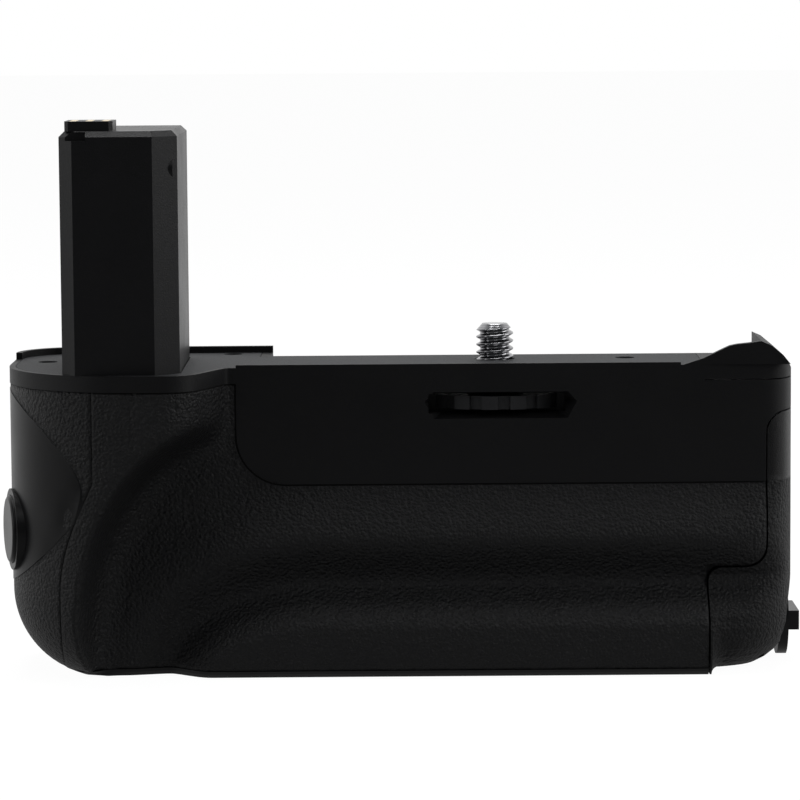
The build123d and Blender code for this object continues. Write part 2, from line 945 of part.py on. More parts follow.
def plate_post(x, y):
    """A post under the top plate."""
    return rod((x, y, -plate_thickness), (0, 0, -1), boss_radius, boss_length)


def plate_pilot(x, y):
    """The hole that a screw of the top plate bites in."""
    depth = plate_screw_sink + plate_screw_head + plate_screw_length
    return rod((x, y, 0), (0, 0, -1), plate_screw_shank, depth)


def back_case():
    """The back half of the casing."""
    pieces = [
        full_piece(back_path, 0, -band_depth, 0, None, cap_left_x),
        full_piece(back_path, -band_depth, -body_height, 0),
    ]
    body = joined(pieces)
    body = body - full_piece(back_path, overrun, -(body_height - wall), wall)
    body = body - full_piece(back_path, overrun, -plate_thickness, rim_wall)
    body = body - ellipse_bar(0)
    posts = switch_cradle() + plate_post(-plate_screw_mid_x, plate_screw_mid_y)
    for x, z in case_screw_places:
        posts = posts + rod((-x, parting_y, -z), (0, 1, 0), case_boss_radius, back_reach - parting_y)
    posts = posts + box(
        (-plate_screw_left_x - rib / 2, parting_y, -plate_thickness - boss_length),
        (-plate_screw_left_x + rib / 2, back_reach, -plate_thickness),
    )
    body = body + (posts & full_piece(back_path, -plate_thickness, -body_height, envelope_share * wall))
    web = box(
        (-plate_screw_left_x - rib / 2, -plate_screw_left_y, -plate_thickness - boss_length),
        (-plate_screw_left_x + rib / 2, parting_y, -plate_thickness),
    )
    body = body + web + plate_post(-plate_screw_left_x, -plate_screw_left_y)
    body = body - slab(screen_wedge(), side_plane(), -rim_end_x, right_reach + overrun)
    body = body + slanted_wall()
    rim = full_piece(back_path, rim_rise, 0, 0, None, -rim_end_x)
    body = body + (rim - full_piece(back_path, overrun, -overrun, rim_wall))
    return body - back_cuts()


def back_cuts():
    """Holes and slots in the back half of the casing."""
    cuts = rear_skin(0, skin_seat) + door_block(0)
    cuts = cuts + box(
        (-rear_window_half_width, parting_y + wall, -(wheel_top + wheel_thickness + wheel_slot_gap)),
        (rear_window_half_width, back_reach + overrun, -(wheel_top - wheel_slot_gap)),
    )
    for x, z in case_screw_places:
        cuts = cuts + rod((-x, parting_y, -z), (0, 1, 0), case_screw_shank + small_gap, back_reach)
        cuts = cuts + rod((-x, case_head_y, -z), (0, 1, 0), case_screw_radius + small_gap, back_reach)
    cuts = cuts + plate_pilot(-plate_screw_left_x, -plate_screw_left_y)
    cuts = cuts + plate_pilot(-plate_screw_mid_x, plate_screw_mid_y)
    half = switch_width / 2 + switch_gap
    cuts = cuts + box(
        (-switch_x - switch_length / 2 - switch_gap, inner_back_y() - small_gap, -switch_z - half),
        (-switch_x + switch_length / 2 + switch_travel + switch_gap, back_reach + overrun, -switch_z + half),
    )
    start = (-jack_x, inner_back_y() - small_gap, -jack_z)
    return cuts + rod(start, (0, 1, 0), jack_ring_radius, wall + overrun)


def stalk_outline(inset):
    """The outline of the stalk in x and y, seen from above."""
    corner_share = 2 - math.sqrt(2)
    left = -stalk_left_x + inset
    right = -stalk_right_x - inset
    front = -stalk_front_y + inset
    back = stalk_back_y - inset
    left_cut = stalk_left_chamfer - corner_share * inset
    right_cut = stalk_right_chamfer - corner_share * inset
    return [
        (left, back),
        (left, front + left_cut),
        (left + left_cut, front),
        (right - right_cut, front),
        (right, front + right_cut),
        (right, back),
    ]


def top_plate():
    """The plate that the camera stands on."""
    inset = rim_wall + plate_gap
    end = cap_left_x - plate_gap
    body = full_piece(front_path, 0, -plate_thickness, inset, None, end)
    body = body + full_piece(back_path, 0, -plate_thickness, inset, None, -rim_end_x - wall - plate_gap)
    body = body + box((-rim_end_x - 2 * wall, parting_y, -plate_thickness), (end, screen_cut_y - inset, 0))
    for side in (-1, 1):
        place = (side * bracket_screw_x, 0, -plate_thickness)
        body = body + rod(place, (0, 0, -1), small_boss_radius, bracket_top - plate_thickness)
        body = body - rod((place[0], 0, -bracket_top), (0, 0, 1), small_screw_shank, small_screw_length)
    body = body - rod((0, 0, -overrun), (0, 0, 1), thread_radius + screw_clearance, 2 * overrun)
    body = body - slab(stalk_outline(-stalk_play), Plane.XY, -overrun, overrun)
    for x, y in plate_screw_places():
        body = body - rod((x, y, 0), (0, 0, -1), plate_screw_shank + small_gap, plate_thickness)
        sink = plate_screw_sink + plate_screw_head
        body = body - rod((x, y, 0), (0, 0, -1), plate_screw_radius + small_gap, sink)
    for y in flange_screw_y:
        pilot = flange_screw_length - flange_thickness
        body = body - rod((-flange_screw_x, -y, -plate_thickness), (0, 0, 1), small_screw_shank, pilot)
    return body


def plate_screw_places():
    """The three screws in the top plate."""
    return [
        (-plate_screw_left_x, -plate_screw_left_y),
        (-plate_screw_mid_x, plate_screw_mid_y),
        (plate_screw_right_x, 0),
    ]


def plate_screws():
    seat = -plate_screw_sink - plate_screw_head
    return [
        screw((x, y, seat), (0, 0, -1), plate_screw_radius, plate_screw_head, plate_screw_shank, plate_screw_length)
        for x, y in plate_screw_places()
    ]


def case_screws():
    return [
        screw((-x, case_head_y, -z), (0, -1, 0), case_screw_radius, case_screw_head, case_screw_shank, case_screw_length)
        for x, z in case_screw_places
    ]


def skin_blank():
    """Both leathery covers of the front as one shell on its seat."""
    edge = skin_seat - skin_thickness
    shell = full_piece(front_path, -band_depth - small_gap, -skin_low + small_gap, edge)
    shell = shell - full_piece(front_path, overrun, -body_height, skin_seat)
    return shell - proud_block(small_gap) - door_block(-small_gap)


def seam_block(gap):
    """Everything in the front half to the left of the seam at the left end."""
    outer = -left_reach - overrun
    turns = levels(0, -end_seam_low)
    points = [(outer, 0)] + [(end_seam(z) + gap, z) for z in turns]
    points += [(end_seam(-body_height) + gap, -body_height), (outer, -body_height)]
    return slab(points, front_plane(), -parting_y, bulge_reach + overrun)


def front_grip_skin(blank):
    """The leathery cover of the hand grip and the front."""
    return blank - seam_block(small_gap) - ellipse_bar(small_gap)


def left_end_skin(blank):
    """The cover of the left end, with room for the panel of the shutter button."""
    body = blank & seam_block(-small_gap)
    return body - ellipse_bar(small_gap)


def rear_grip_skin():
    """The leathery cover on the back."""
    return rear_skin(small_gap, skin_thickness)


def whole_block(inset, top, bottom):
    """Everything inside both halves of the casing, a wall thickness further in."""
    return full_piece(front_path, top, bottom, inset) + full_piece(back_path, top, bottom, inset)


def left_end_panel():
    """The oval panel that carries the shutter button, with a lip behind the casing wall."""
    low = -panel_centre_z - panel_half_height - overrun
    face = whole_block(0, 0, low) & ellipse_bar(-small_gap)
    lip = whole_block(wall, 0, low) & ellipse_bar(panel_lip)
    body = face + lip - whole_block(wall + panel_lip_thickness, overrun, low - overrun)
    start = button_point(0, 0, -bezel_depth - overrun)
    body = body - rod(start, button_out, bezel_radius, bezel_depth + 3 * overrun)
    for side in (-1, 1):
        start = button_point(side * post_across, post_up, board_face())
        body = body + rod(start, button_out, board_post_radius, -board_face() - wall / 2)
        body = body - rod(start, button_out, small_screw_shank, small_screw_length)
    return body


def button_point(across, up, out):
    """A place given along the axis of the shutter button and across it."""
    return (
        button_x - across * button_out[1] + out * button_out[0],
        button_y + across * button_out[0] + out * button_out[1],
        up - button_z,
    )


def button_plane():
    """A plane across the axis of the shutter button, where the axis leaves the panel."""
    return Plane(origin=button_point(0, 0, 0), x_dir=(-button_out[1], button_out[0], 0), z_dir=button_out)


def stem_end():
    """The inner end of the button's stem."""
    return -button_depth - stem_length


def tact_face():
    """The face of the switch body under its plunger."""
    return stem_end() - button_travel - small_gap - tact_button_height


def board_face():
    """The face of the small board that the shutter switch stands on."""
    return tact_face() - tact_height


def button_bezel():
    """The ring round the shutter button."""
    body = rod(button_point(0, 0, -bezel_depth), button_out, bezel_radius, bezel_depth + bezel_stand)
    floor = button_point(0, 0, bezel_floor - bezel_depth)
    bore = rod(floor, button_out, button_radius + button_play, bezel_depth + overrun)
    stem = rod(button_point(0, 0, -bezel_depth), button_out, stem_radius + stem_gap, bezel_depth)
    return body - bore - stem


def shutter_button():
    cap = rod(button_point(0, 0, -button_depth), button_out, button_radius, button_depth + button_stand)
    crown = cap.edges().sort_by(Axis(button_point(0, 0, 0), button_out))[-1]
    cap = fillet(crown, button_depth / 2)
    return cap + rod(button_point(0, 0, stem_end()), button_out, stem_radius, stem_length)


def button_clip():
    """The ring that keeps the shutter button in its bezel."""
    start = button_point(0, 0, -bezel_depth - face_gap - button_clip_thickness)
    return tube(start, button_out, button_clip_radius, stem_radius, button_clip_thickness)


def shutter_spring():
    """A coned ring under the shutter button, as low as the pressed button leaves it."""
    low = bezel_floor - bezel_depth
    top = -button_depth - button_travel - small_gap
    outline = [
        (spring_inner_radius, top),
        (spring_inner_radius, top - spring_thickness),
        (spring_outer_radius, low),
        (spring_outer_radius, low + spring_thickness),
    ]
    face = Plane.XZ * make_face(Polyline(*outline, close=True))
    return button_plane() * revolve(face, Axis.Z)


def shutter_switch():
    """The switch under the shutter button."""
    middle = (tact_face() + board_face()) / 2
    body = button_plane() * Pos(0, 0, middle) * Box(tact_size, tact_size, tact_height)
    return body + rod(button_point(0, 0, tact_face()), button_out, tact_button_radius, tact_button_height)


def shutter_board():
    middle = (shutter_board_up - shutter_board_down) / 2
    height = shutter_board_up + shutter_board_down
    place = button_plane() * Pos(0, middle, board_face() - board_thickness / 2)
    body = place * Box(shutter_board_width, height, board_thickness)
    for side in (-1, 1):
        start = button_point(side * post_across, post_up, board_face() - board_thickness)
        body = body - rod(start, button_out, small_screw_shank + small_gap, board_thickness)
    return body


def board_screws():
    """The screws of both boards."""
    screws = []
    for side in (-1, 1):
        seat = button_point(side * post_across, post_up, board_face() - board_thickness)
        screws.append(small_screw(seat, button_out, small_screw_length))
    for z in board_screw_z:
        screws.append(small_screw((-main_board_x, -board_screw_y, -z), (1, 0, 0), board_screw_length))
    return screws


def right_cap():
    """The cap that wraps the lower right corner of the camera."""
    low = -band_depth
    body = full_piece(front_path, 0, low, 0, cap_left_x) + full_piece(back_path, 0, low, 0, cap_left_x)
    body = body - full_piece(front_path, -plate_thickness, low - overrun, wall, cap_left_x + wall)
    body = body - full_piece(back_path, -plate_thickness, low - overrun, wall, cap_left_x + wall)
    outline = slab(cap_profile, front_plane(), -back_reach, panel_reach)
    inside = full_piece(front_path, cap_peak + overrun, low, cap_front_wall)
    front = full_piece(front_path, cap_peak, low, 0, cap_profile[0][0]) - inside
    end = full_piece(front_path, cap_peak, low, 0) + full_piece(back_path, cap_peak, low, 0)
    end = end & box((cap_wall_x, -bulge_reach, low), (right_reach + overrun, cap_back_y, cap_peak))
    above = box((-left_reach, -bulge_reach, 0), (right_reach, back_reach, cap_peak))
    slope = box((cap_slope_x, -bulge_reach, low), (right_reach + overrun, back_reach + overrun, cap_peak))
    body = body - (slope - outline) + ((front + end) & outline & above)
    seam = box((cap_left_x - overrun, -bulge_reach, low - overrun), (right_reach + overrun, back_reach, low + cap_seam))
    return body - seam - slab(screen_wedge(), side_plane(), -rim_end_x, right_reach + overrun)


def camera_screw():
    """The screw that holds the camera, its thread drawn as rings."""
    body = rod((0, 0, -shank_bottom), (0, 0, 1), shank_radius, shank_bottom - hub_top)
    body = body + rod((0, 0, -hub_top), (0, 0, 1), thread_root_radius, hub_top + screw_stand)
    for turn in range(screw_turns):
        body = body + rod((0, 0, turn * thread_pitch), (0, 0, 1), thread_radius, thread_crest)
    return body


def thumb_wheel():
    """The toothed wheel on the camera screw."""
    body = rod((0, 0, -wheel_top - wheel_thickness), (0, 0, 1), wheel_root_radius, wheel_thickness)
    step = 360 / wheel_teeth
    width = 2 * wheel_radius * math.sin(math.radians(step * tooth_share / 2))
    for tooth in range(wheel_teeth):
        middle = Pos(wheel_radius / 2, 0, -wheel_top - wheel_thickness / 2)
        bar = middle * Box(wheel_radius, width, wheel_thickness)
        body = body + Rot(0, 0, tooth * step + step / 4) * bar
    body = body & rod((0, 0, -wheel_top - wheel_thickness), (0, 0, 1), wheel_radius, wheel_thickness)
    bottom = bracket_top - bush_flange - face_gap
    body = body + rod((0, 0, -bottom), (0, 0, 1), hub_radius, bottom - hub_top)
    return body - rod((0, 0, -bracket_top), (0, 0, 1), shank_radius, bracket_top)


def screw_bracket():
    """The metal strip under the plate that carries the camera screw."""
    low = -bracket_top - bracket_thickness
    half = (bracket_half_length, bracket_half_width)
    body = box((-half[0], -half[1], low), (half[0], half[1], -bracket_top))
    body = body - rod((0, 0, low), (0, 0, 1), bush_radius, bracket_thickness)
    for side in (-1, 1):
        start = (side * bracket_screw_x, 0, low)
        body = body - rod(start, (0, 0, 1), small_screw_shank + small_gap, bracket_thickness)
    return body


def screw_bush():
    """The flanged bush that the camera screw turns in."""
    low = -bracket_top - bracket_thickness
    body = rod((0, 0, low), (0, 0, 1), bush_radius, bracket_thickness)
    body = body + rod((0, 0, -bracket_top), (0, 0, 1), bush_flange_radius, bush_flange)
    return body - rod((0, 0, low), (0, 0, 1), shank_radius + run_gap, bracket_thickness + bush_flange)


def screw_clip():
    """The ring that keeps the camera screw in its bracket."""
    low = -bracket_top - bracket_thickness - face_gap - clip_thickness
    return tube((0, 0, low), (0, 0, 1), clip_radius, shank_radius, clip_thickness)


def bracket_screws():
    seat = -bracket_top - bracket_thickness
    return [
        small_screw((side * bracket_screw_x, 0, seat), (0, 0, 1), small_screw_length) for side in (-1, 1)
    ]


def stalk_hull():
    """The outside of the stalk less its hollow."""
    low = -flange_top - flange_thickness
    solid = slab(stalk_outline(0), Plane.XY, 0, stalk_height)
    solid = chamfer(solid.faces().sort_by(Axis.Z)[-1].edges(), stalk_top_chamfer)
    foot = slab(stalk_outline(0), Plane.XY, low, 0) & whole_block(wall + small_gap, 0, low - overrun)
    return solid + foot - slab(stalk_outline(stalk_wall), Plane.XY, low, stalk_height - stalk_wall)


def terminal_foot_box(grow):
    """The foot of the terminal block, or the hole for it."""
    left = -terminal_left_x + terminal_foot_inset - grow
    front = -stalk_front_y + terminal_inset + terminal_foot_inset - grow
    return box(
        (left, front, stalk_height - terminal_foot),
        (left + terminal_width - 2 * terminal_foot_inset + 2 * grow,
         front + terminal_depth - 2 * terminal_foot_inset + 2 * grow, stalk_height),
    )


def stalk_left_shell(hull):
    """The narrow left shell of the stalk, with two pegs."""
    body = hull & box((-left_reach, -bulge_reach, -body_height), (-stalk_split_x, back_reach, stalk_height))
    body = body - box(
        (-left_reach, -bulge_reach, stalk_height - small_gap - notch_depth),
        (-stalk_left_x + notch_width, -stalk_front_y + notch_cut, stalk_height - small_gap),
    )
    for y, z in peg_places:
        start = (-stalk_left_x + stalk_wall / 2, -y, z)
        peg = rod(start, (1, 0, 0), peg_radius, stalk_left_x - stalk_split_x + peg_length)
        body = body + peg
    return body - terminal_foot_box(small_gap)


def stalk_right_shell(hull):
    """The wide right shell of the stalk, with the flange that is screwed under the plate."""
    body = hull & box((-stalk_split_x, -bulge_reach, -body_height), (right_reach, back_reach, stalk_height))
    body = body + box(
        (-stalk_right_x - stalk_wall, -flange_front_y, -flange_top - flange_thickness),
        (-stalk_right_x + flange_side, flange_back_y, -plate_thickness),
    )
    for y, z in peg_places:
        length = stalk_split_x - stalk_right_x - stalk_wall / 2
        body = body + rod((-stalk_split_x, -y, z), (1, 0, 0), peg_tube_radius, length)
        body = body - rod((-stalk_split_x, -y, z), (1, 0, 0), peg_radius, peg_length + stalk_wall)
    body = body + box(
        (-stalk_board_x + stalk_board_thickness, -stalk_rib_y - rib / 2, stalk_rib_low),
        (-stalk_right_x - stalk_wall / 2, -stalk_rib_y + rib / 2, stalk_rib_high),
    )
    for y in flange_screw_y:
        start = (-flange_screw_x, -y, -flange_top - flange_thickness)
        body = body - rod(start, (0, 0, 1), small_screw_shank + small_gap, flange_thickness + flange_top)
    return body - terminal_foot_box(small_gap)


def terminal_block():
    """The block with the contacts on top of the stalk."""
    left = -terminal_left_x
    front = -stalk_front_y + terminal_inset
    top = stalk_height + terminal_rise
    body = box((left, front, stalk_height), (left + terminal_width, front + terminal_depth, top))
    body = chamfer(body.edges().filter_by(Axis.Z), terminal_chamfer) + terminal_foot_box(0)
    return joined([body]) - joined(stalk_contacts())


def stalk_contacts():
    """Three strips in the top of the terminal block."""
    step = terminal_width / contact_count
    top = stalk_height + terminal_rise
    front = -stalk_front_y + terminal_inset + terminal_contact_inset
    strips = []
    for number in range(contact_count):
        middle = -terminal_left_x + step * (number + 0.5)
        strips.append(
            box(
                (middle - stalk_contact_width / 2, front, top - stalk_contact_thickness),
                (middle + stalk_contact_width / 2, front + terminal_depth - 2 * terminal_contact_inset, top),
            )
        )
    return strips


def stalk_board():
    return box(
        (-stalk_board_x, -stalk_board_front_y, stalk_board_bottom),
        (-stalk_board_x + stalk_board_thickness, stalk_board_back_y, stalk_board_top),
    )


def stalk_screws():
    seat = -flange_top - flange_thickness
    return [small_screw((-flange_screw_x, -y, seat), (0, 0, 1), flange_screw_length) for y in flange_screw_y]


def battery_chamber():
    """The box that the battery tray slides into."""
    room = chamber_gap
    edge = room + chamber_wall
    high = (chamber_mouth_x, tray_back_y + edge, tray_top_z + edge)
    body = box((-tray_x - edge, -tray_y - edge, -tray_bottom - edge), high)
    body = body - box(
        (-tray_x - room, -tray_y - room, -tray_bottom - room),
        (chamber_mouth_x + overrun, tray_back_y + room, tray_top_z + room),
    )
    body = body - contact_window()
    body = body - box(
        (cam_x, -finger_slot_front_y, -body_height),
        (chamber_mouth_x, finger_slot_back_y, -tray_bottom),
    )
    top = tray_top_z + edge
    body = body + rod((plate_screw_right_x, 0, top), (0, 0, 1), boss_radius, -plate_thickness - top)
    for z in board_screw_z:
        start = (-main_board_x + board_thickness, -board_screw_y, -z)
        body = body + rod(start, (1, 0, 0), board_post_radius, main_board_x - board_thickness - tray_x - edge)
        body = body - rod(start, (1, 0, 0), small_screw_shank, board_screw_length - board_thickness)
    return body - plate_pilot(plate_screw_right_x, 0)


def contact_window():
    """The block of the tray contacts in the chamber's end wall."""
    end = -tray_x - chamber_gap
    return box(
        (end - contact_block_length, -contact_block_depth / 2, -contact_z - contact_block_height / 2),
        (end, contact_block_depth / 2, -contact_z + contact_block_height / 2),
    )


def contact_strips(left, depth):
    """A row of contact strips, given their left side and how far they reach along X."""
    strips = []
    for number in range(contact_count):
        y = (number - (contact_count - 1) / 2) * contact_pitch
        strips.append(
            box(
                (left, y - contact_width / 2, -contact_z - contact_width),
                (left + depth, y + contact_width / 2, -contact_z + contact_width),
            )
        )
    return strips


def chamber_contacts():
    return contact_strips(-tray_x - chamber_gap, chamber_gap - face_gap)


def tray_contacts():
    return contact_strips(-tray_x, contact_thickness)


def battery_contacts():
    """The contact strips at the left end of both battery bays."""
    strips = []
    for start in bay_starts:
        strips += contact_strips(start, contact_thickness)
    return strips


def battery_springs():
    """The leaf springs at the right end of both battery bays."""
    springs = []
    half = battery_spring_width / 2
    thin = battery_spring_thickness
    for start in bay_starts:
        end = start + bay_length
        bow = end - battery_spring_bow
        outer = [(end, -half), (bow + thin, -half / 2), (bow, 0), (bow + thin, half / 2), (end, half)]
        inner = [(end, half - thin), (bow + 2 * thin, half / 2 - thin), (bow + thin, 0)]
        inner += [(bow + 2 * thin, thin - half / 2), (end, thin - half)]
        low = -contact_z - half
        springs.append(slab(outer + inner, Plane.XY, low, low + battery_spring_width))
    return springs


def main_board():
    """The board between the battery chamber and the left end."""
    body = box(
        (-main_board_x, -main_board_front_y, -main_board_bottom),
        (-main_board_x + board_thickness, main_board_back_y, -main_board_top),
    )
    for z in board_screw_z:
        start = (-main_board_x, -board_screw_y, -z)
        body = body - rod(start, (1, 0, 0), small_screw_shank + small_gap, board_thickness)
    return body


def battery_tray():
    """The tray for two flat batteries, open to the front."""
    body = box((-tray_x, -tray_y, -tray_bottom), (tray_end_x, tray_back_y, tray_top_z))
    low = -tray_bottom + tray_wall
    high = tray_top_z - tray_wall
    for start in bay_starts:
        body = body - box((start, -tray_y, low), (start + bay_length, tray_back_y - tray_wall, high))
    body = body - box((cam_x, -tray_y, low), (cam_x + cam_space, tray_back_y - tray_wall, high))
    end = cam_x + cam_space
    body = body - box((cam_x, -finger_slot_front_y, -tray_bottom), (end, finger_slot_back_y, low))
    body = body - rod((end, -knob_y, -knob_z), (1, 0, 0), lock_shaft_radius + shaft_play, tray_end_plate)
    for y, z in door_screw_places:
        body = body - rod((end, y, -z), (1, 0, 0), small_screw_shank + small_gap, tray_end_plate)
    return body - joined(tray_contacts())


def door_room():
    """The space inside the door for the end of the chamber."""
    edge = chamber_gap + chamber_wall + cavity_gap
    return box(
        (door_low_x - overrun, -tray_y - edge, -body_height + door_floor),
        (tray_end_x, tray_back_y + edge, -door_top + overrun),
    )


def tray_door():
    """The door on the end of the tray, which wraps the lower right corner of the grip."""
    whole = full_piece(front_path, -door_top, -body_height, 0)
    whole = whole + full_piece(back_path, -door_top, -body_height, 0)
    body = whole & door_block(door_gap)
    body = body - door_room()
    body = body - box(
        (ridge_cavity_x, -ridge_cavity_y, -ridge_cavity_low),
        (tray_end_x, -tray_y, -ridge_cavity_top),
    )
    pocket = rod((knob_floor_x, -knob_y, -knob_z), (1, 0, 0), knob_pocket_radius, overrun + knob_pocket_depth)
    body = body - pocket
    body = body - rod((door_low_x, -knob_y, -knob_z), (1, 0, 0), lock_shaft_radius + shaft_play, right_reach)
    for y, z in door_screw_places:
        depth = door_screw_length - tray_end_plate
        body = body - rod((tray_end_x, y, -z), (1, 0, 0), small_screw_shank, depth)
    return body


def door_screws():
    start = cam_x + cam_space
    return [small_screw((start, y, -z), (1, 0, 0), door_screw_length) for y, z in door_screw_places]


def lock_knob():
    """The winged knob that locks the tray, with its shaft."""
    start = knob_floor_x + face_gap
    body = rod((start, -knob_y, -knob_z), (1, 0, 0), knob_radius, knob_disc)
    wing = box(
        (start + knob_disc, -wing_length / 2, -knob_z - wing_width / 2),
        (start + knob_disc + wing_stand, wing_length / 2, -knob_z + wing_width / 2),
    )
    shaft = start - cam_x - cam_play
    return body + wing + rod((cam_x + cam_play, -knob_y, -knob_z), (1, 0, 0), lock_shaft_radius, shaft)


def lock_finger():
    """The finger on the end of the lock shaft. It lies along the tray when the tray is free."""
    start = (cam_x + cam_play, -knob_y, -knob_z)
    body = rod(start, (1, 0, 0), finger_hub_radius, finger_thickness)
    body = body + box(
        (start[0], start[1], start[2] - finger_width / 2),
        (start[0] + finger_thickness, start[1] + finger_length, start[2] + finger_width / 2),
    )
    return body - rod(start, (1, 0, 0), lock_shaft_radius, finger_thickness)


def tripod_socket():
    """The threaded socket in the bottom."""
    start = (-socket_x, -socket_y, -body_height)
    body = rod(start, (0, 0, 1), socket_outer_radius, socket_length)
    flange = (-socket_x, -socket_y, -body_height + wall)
    body = body + rod(flange, (0, 0, 1), socket_flange_radius, socket_flange)
    return body - rod(start, (0, 0, 1), socket_radius, socket_length - socket_top)


def power_switch_slider():
    """The knob of the power switch with the plate behind the wall."""
    plate_y = inner_back_y() - face_gap
    body = box(
        (-switch_x - switch_length / 2, plate_y - switch_plate / 2, -switch_z - switch_width / 2),
        (-switch_x + switch_length / 2, back_reach + switch_stand, -switch_z + switch_width / 2),
    )
    return body + box(
        (-switch_x - switch_plate_length / 2, plate_y - switch_plate, -switch_z - switch_plate_width / 2),
        (-switch_x + switch_plate_length / 2, plate_y, -switch_z + switch_plate_width / 2),
    )


def power_switch_body():
    back = inner_back_y() - rim_wall
    return box(
        (-switch_body_left_x, back - switch_body_depth, -switch_z - switch_body_width / 2),
        (-switch_body_right_x, back, -switch_z + switch_body_width / 2),
    )


def remote_jack():
    """The socket for a wired remote release."""
    back = inner_back_y()
    body = rod((-jack_x, back - small_gap, -jack_z), (0, 1, 0), jack_ring_radius, wall + small_gap)
    half = jack_body / 2
    body = body + box((-jack_x - half, back - jack_body_depth, -jack_z - half), (-jack_x + half, back, -jack_z + half))
    return body - rod((-jack_x, back_reach, -jack_z), (0, -1, 0), jack_radius, jack_depth)


def build():
    """Every piece by its name. A list is a group of separate solids."""
    blank = skin_blank()
    hull = stalk_hull()
    return {
        "front_case": front_case(),
        "back_case": back_case(),
        "top_plate": top_plate(),
        "plate_screws": plate_screws(),
        "case_screws": case_screws(),
        "front_grip_skin": front_grip_skin(blank),
        "left_end_skin": left_end_skin(blank),
        "rear_grip_skin": rear_grip_skin(),
        "right_cap": right_cap(),
        "left_end_panel": left_end_panel(),
        "button_bezel": button_bezel(),
        "shutter_button": shutter_button(),
        "button_clip": button_clip(),
        "shutter_spring": shutter_spring(),
        "shutter_switch": shutter_switch(),
        "shutter_board": shutter_board(),
        "board_screws": board_screws(),
        "power_switch_slider": power_switch_slider(),
        "power_switch_body": power_switch_body(),
        "remote_jack": remote_jack(),
        "camera_screw": camera_screw(),
        "thumb_wheel": thumb_wheel(),
        "screw_bracket": screw_bracket(),
        "screw_bush": screw_bush(),
        "screw_clip": screw_clip(),
        "bracket_screws": bracket_screws(),
        "stalk_left_shell": stalk_left_shell(hull),
        "stalk_right_shell": stalk_right_shell(hull),
        "terminal_block": terminal_block(),
        "stalk_contacts": stalk_contacts(),
        "stalk_board": stalk_board(),
        "stalk_screws": stalk_screws(),
        "battery_chamber": battery_chamber(),
        "contact_block": contact_window(),
        "chamber_contacts": chamber_contacts(),
        "main_board": main_board(),
        "battery_tray": battery_tray(),
        "tray_contacts": tray_contacts(),
        "battery_contacts": battery_contacts(),
        "battery_springs": battery_springs(),
        "tray_door": tray_door(),
        "door_screws": door_screws(),
        "lock_knob": lock_knob(),
        "lock_finger": lock_finger(),
        "tripod_socket": tripod_socket(),
    }


def single(piece):
    """The solids of a piece as one shape for its file."""
    solids = []
    for part in piece if isinstance(piece, list) else [piece]:
        solids += part.solids()
    return solids[0] if len(solids) == 1 else Compound(children=solids)


os.makedirs("parts", exist_ok=True)
for name, piece in build().items():
    shape = single(piece)
    export_step(shape, f"parts/{name}.step")
    print(name, len(shape.solids()), shape.is_valid, round(shape.volume))
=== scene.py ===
# %% [markdown]
# # A camera battery grip, dressed
# The grip is a hollow moulded casing with leathery covers, a grey metal plate on top, a dummy battery
# stalk at one end and a bright camera screw in the middle. The solids come in finished as a frame.
# This lesson puts surfaces on them and swaps a few for finer meshes. Blender counts in metres. The shapes are
# written in millimetres and multiplied by MM when their points are made.

import math

import bmesh
import bpy
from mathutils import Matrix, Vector


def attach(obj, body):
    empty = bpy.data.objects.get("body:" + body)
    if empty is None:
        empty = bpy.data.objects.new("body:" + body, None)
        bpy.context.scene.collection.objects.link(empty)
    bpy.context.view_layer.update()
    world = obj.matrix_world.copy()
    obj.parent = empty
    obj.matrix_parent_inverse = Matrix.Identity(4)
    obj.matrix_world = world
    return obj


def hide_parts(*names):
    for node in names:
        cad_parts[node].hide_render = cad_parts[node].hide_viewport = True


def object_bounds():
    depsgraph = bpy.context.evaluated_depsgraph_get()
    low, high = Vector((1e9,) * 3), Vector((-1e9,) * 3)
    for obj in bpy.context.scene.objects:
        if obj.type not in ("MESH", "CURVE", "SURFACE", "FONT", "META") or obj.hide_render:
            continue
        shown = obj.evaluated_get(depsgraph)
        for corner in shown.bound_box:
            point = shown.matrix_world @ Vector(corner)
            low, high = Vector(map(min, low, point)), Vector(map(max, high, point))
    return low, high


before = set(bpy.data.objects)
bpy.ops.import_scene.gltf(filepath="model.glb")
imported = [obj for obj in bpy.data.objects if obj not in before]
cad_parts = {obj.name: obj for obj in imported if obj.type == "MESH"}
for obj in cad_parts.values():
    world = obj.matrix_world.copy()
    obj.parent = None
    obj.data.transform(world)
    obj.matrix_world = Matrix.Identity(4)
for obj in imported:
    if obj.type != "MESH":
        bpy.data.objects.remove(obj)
cad_low, cad_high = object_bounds()
print("solids", len(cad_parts), "box", cad_low, cad_high)

# %% [markdown]
# ## The camera
# The photograph looks at the front of the grip from a little above, through a long lens. A long lens keeps
# the left and right ends the same size. The camera leans by less than half a degree, as the picture does. It
# could be aimed at a target. Its place and its two angles are plain numbers instead, because they were worked
# out from the edges of the grip in the photograph.

# %% Camera
MM = 0.001
CAMERA_PLACE = (-15.84, -622.43, 57.7)
LOOKING_DOWN, LEANING = 5.9223, 0.42
camera_data = bpy.data.cameras.new("camera")
camera_data.lens = 168.75
camera_data.sensor_width = 36.0
camera_data.clip_start = 0.01
camera = bpy.data.objects.new("camera", camera_data)
bpy.context.scene.collection.objects.link(camera)
camera.location = [value * MM for value in CAMERA_PLACE]
camera.rotation_mode = "XYZ"
camera.rotation_euler = (math.radians(90 - LOOKING_DOWN), 0, 0)
camera.rotation_euler.rotate_axis("Z", math.radians(-LEANING))
bpy.context.scene.camera = camera
bpy.context.scene.view_settings.view_transform = "Standard"
print("camera", tuple(round(value, 4) for value in camera.location))

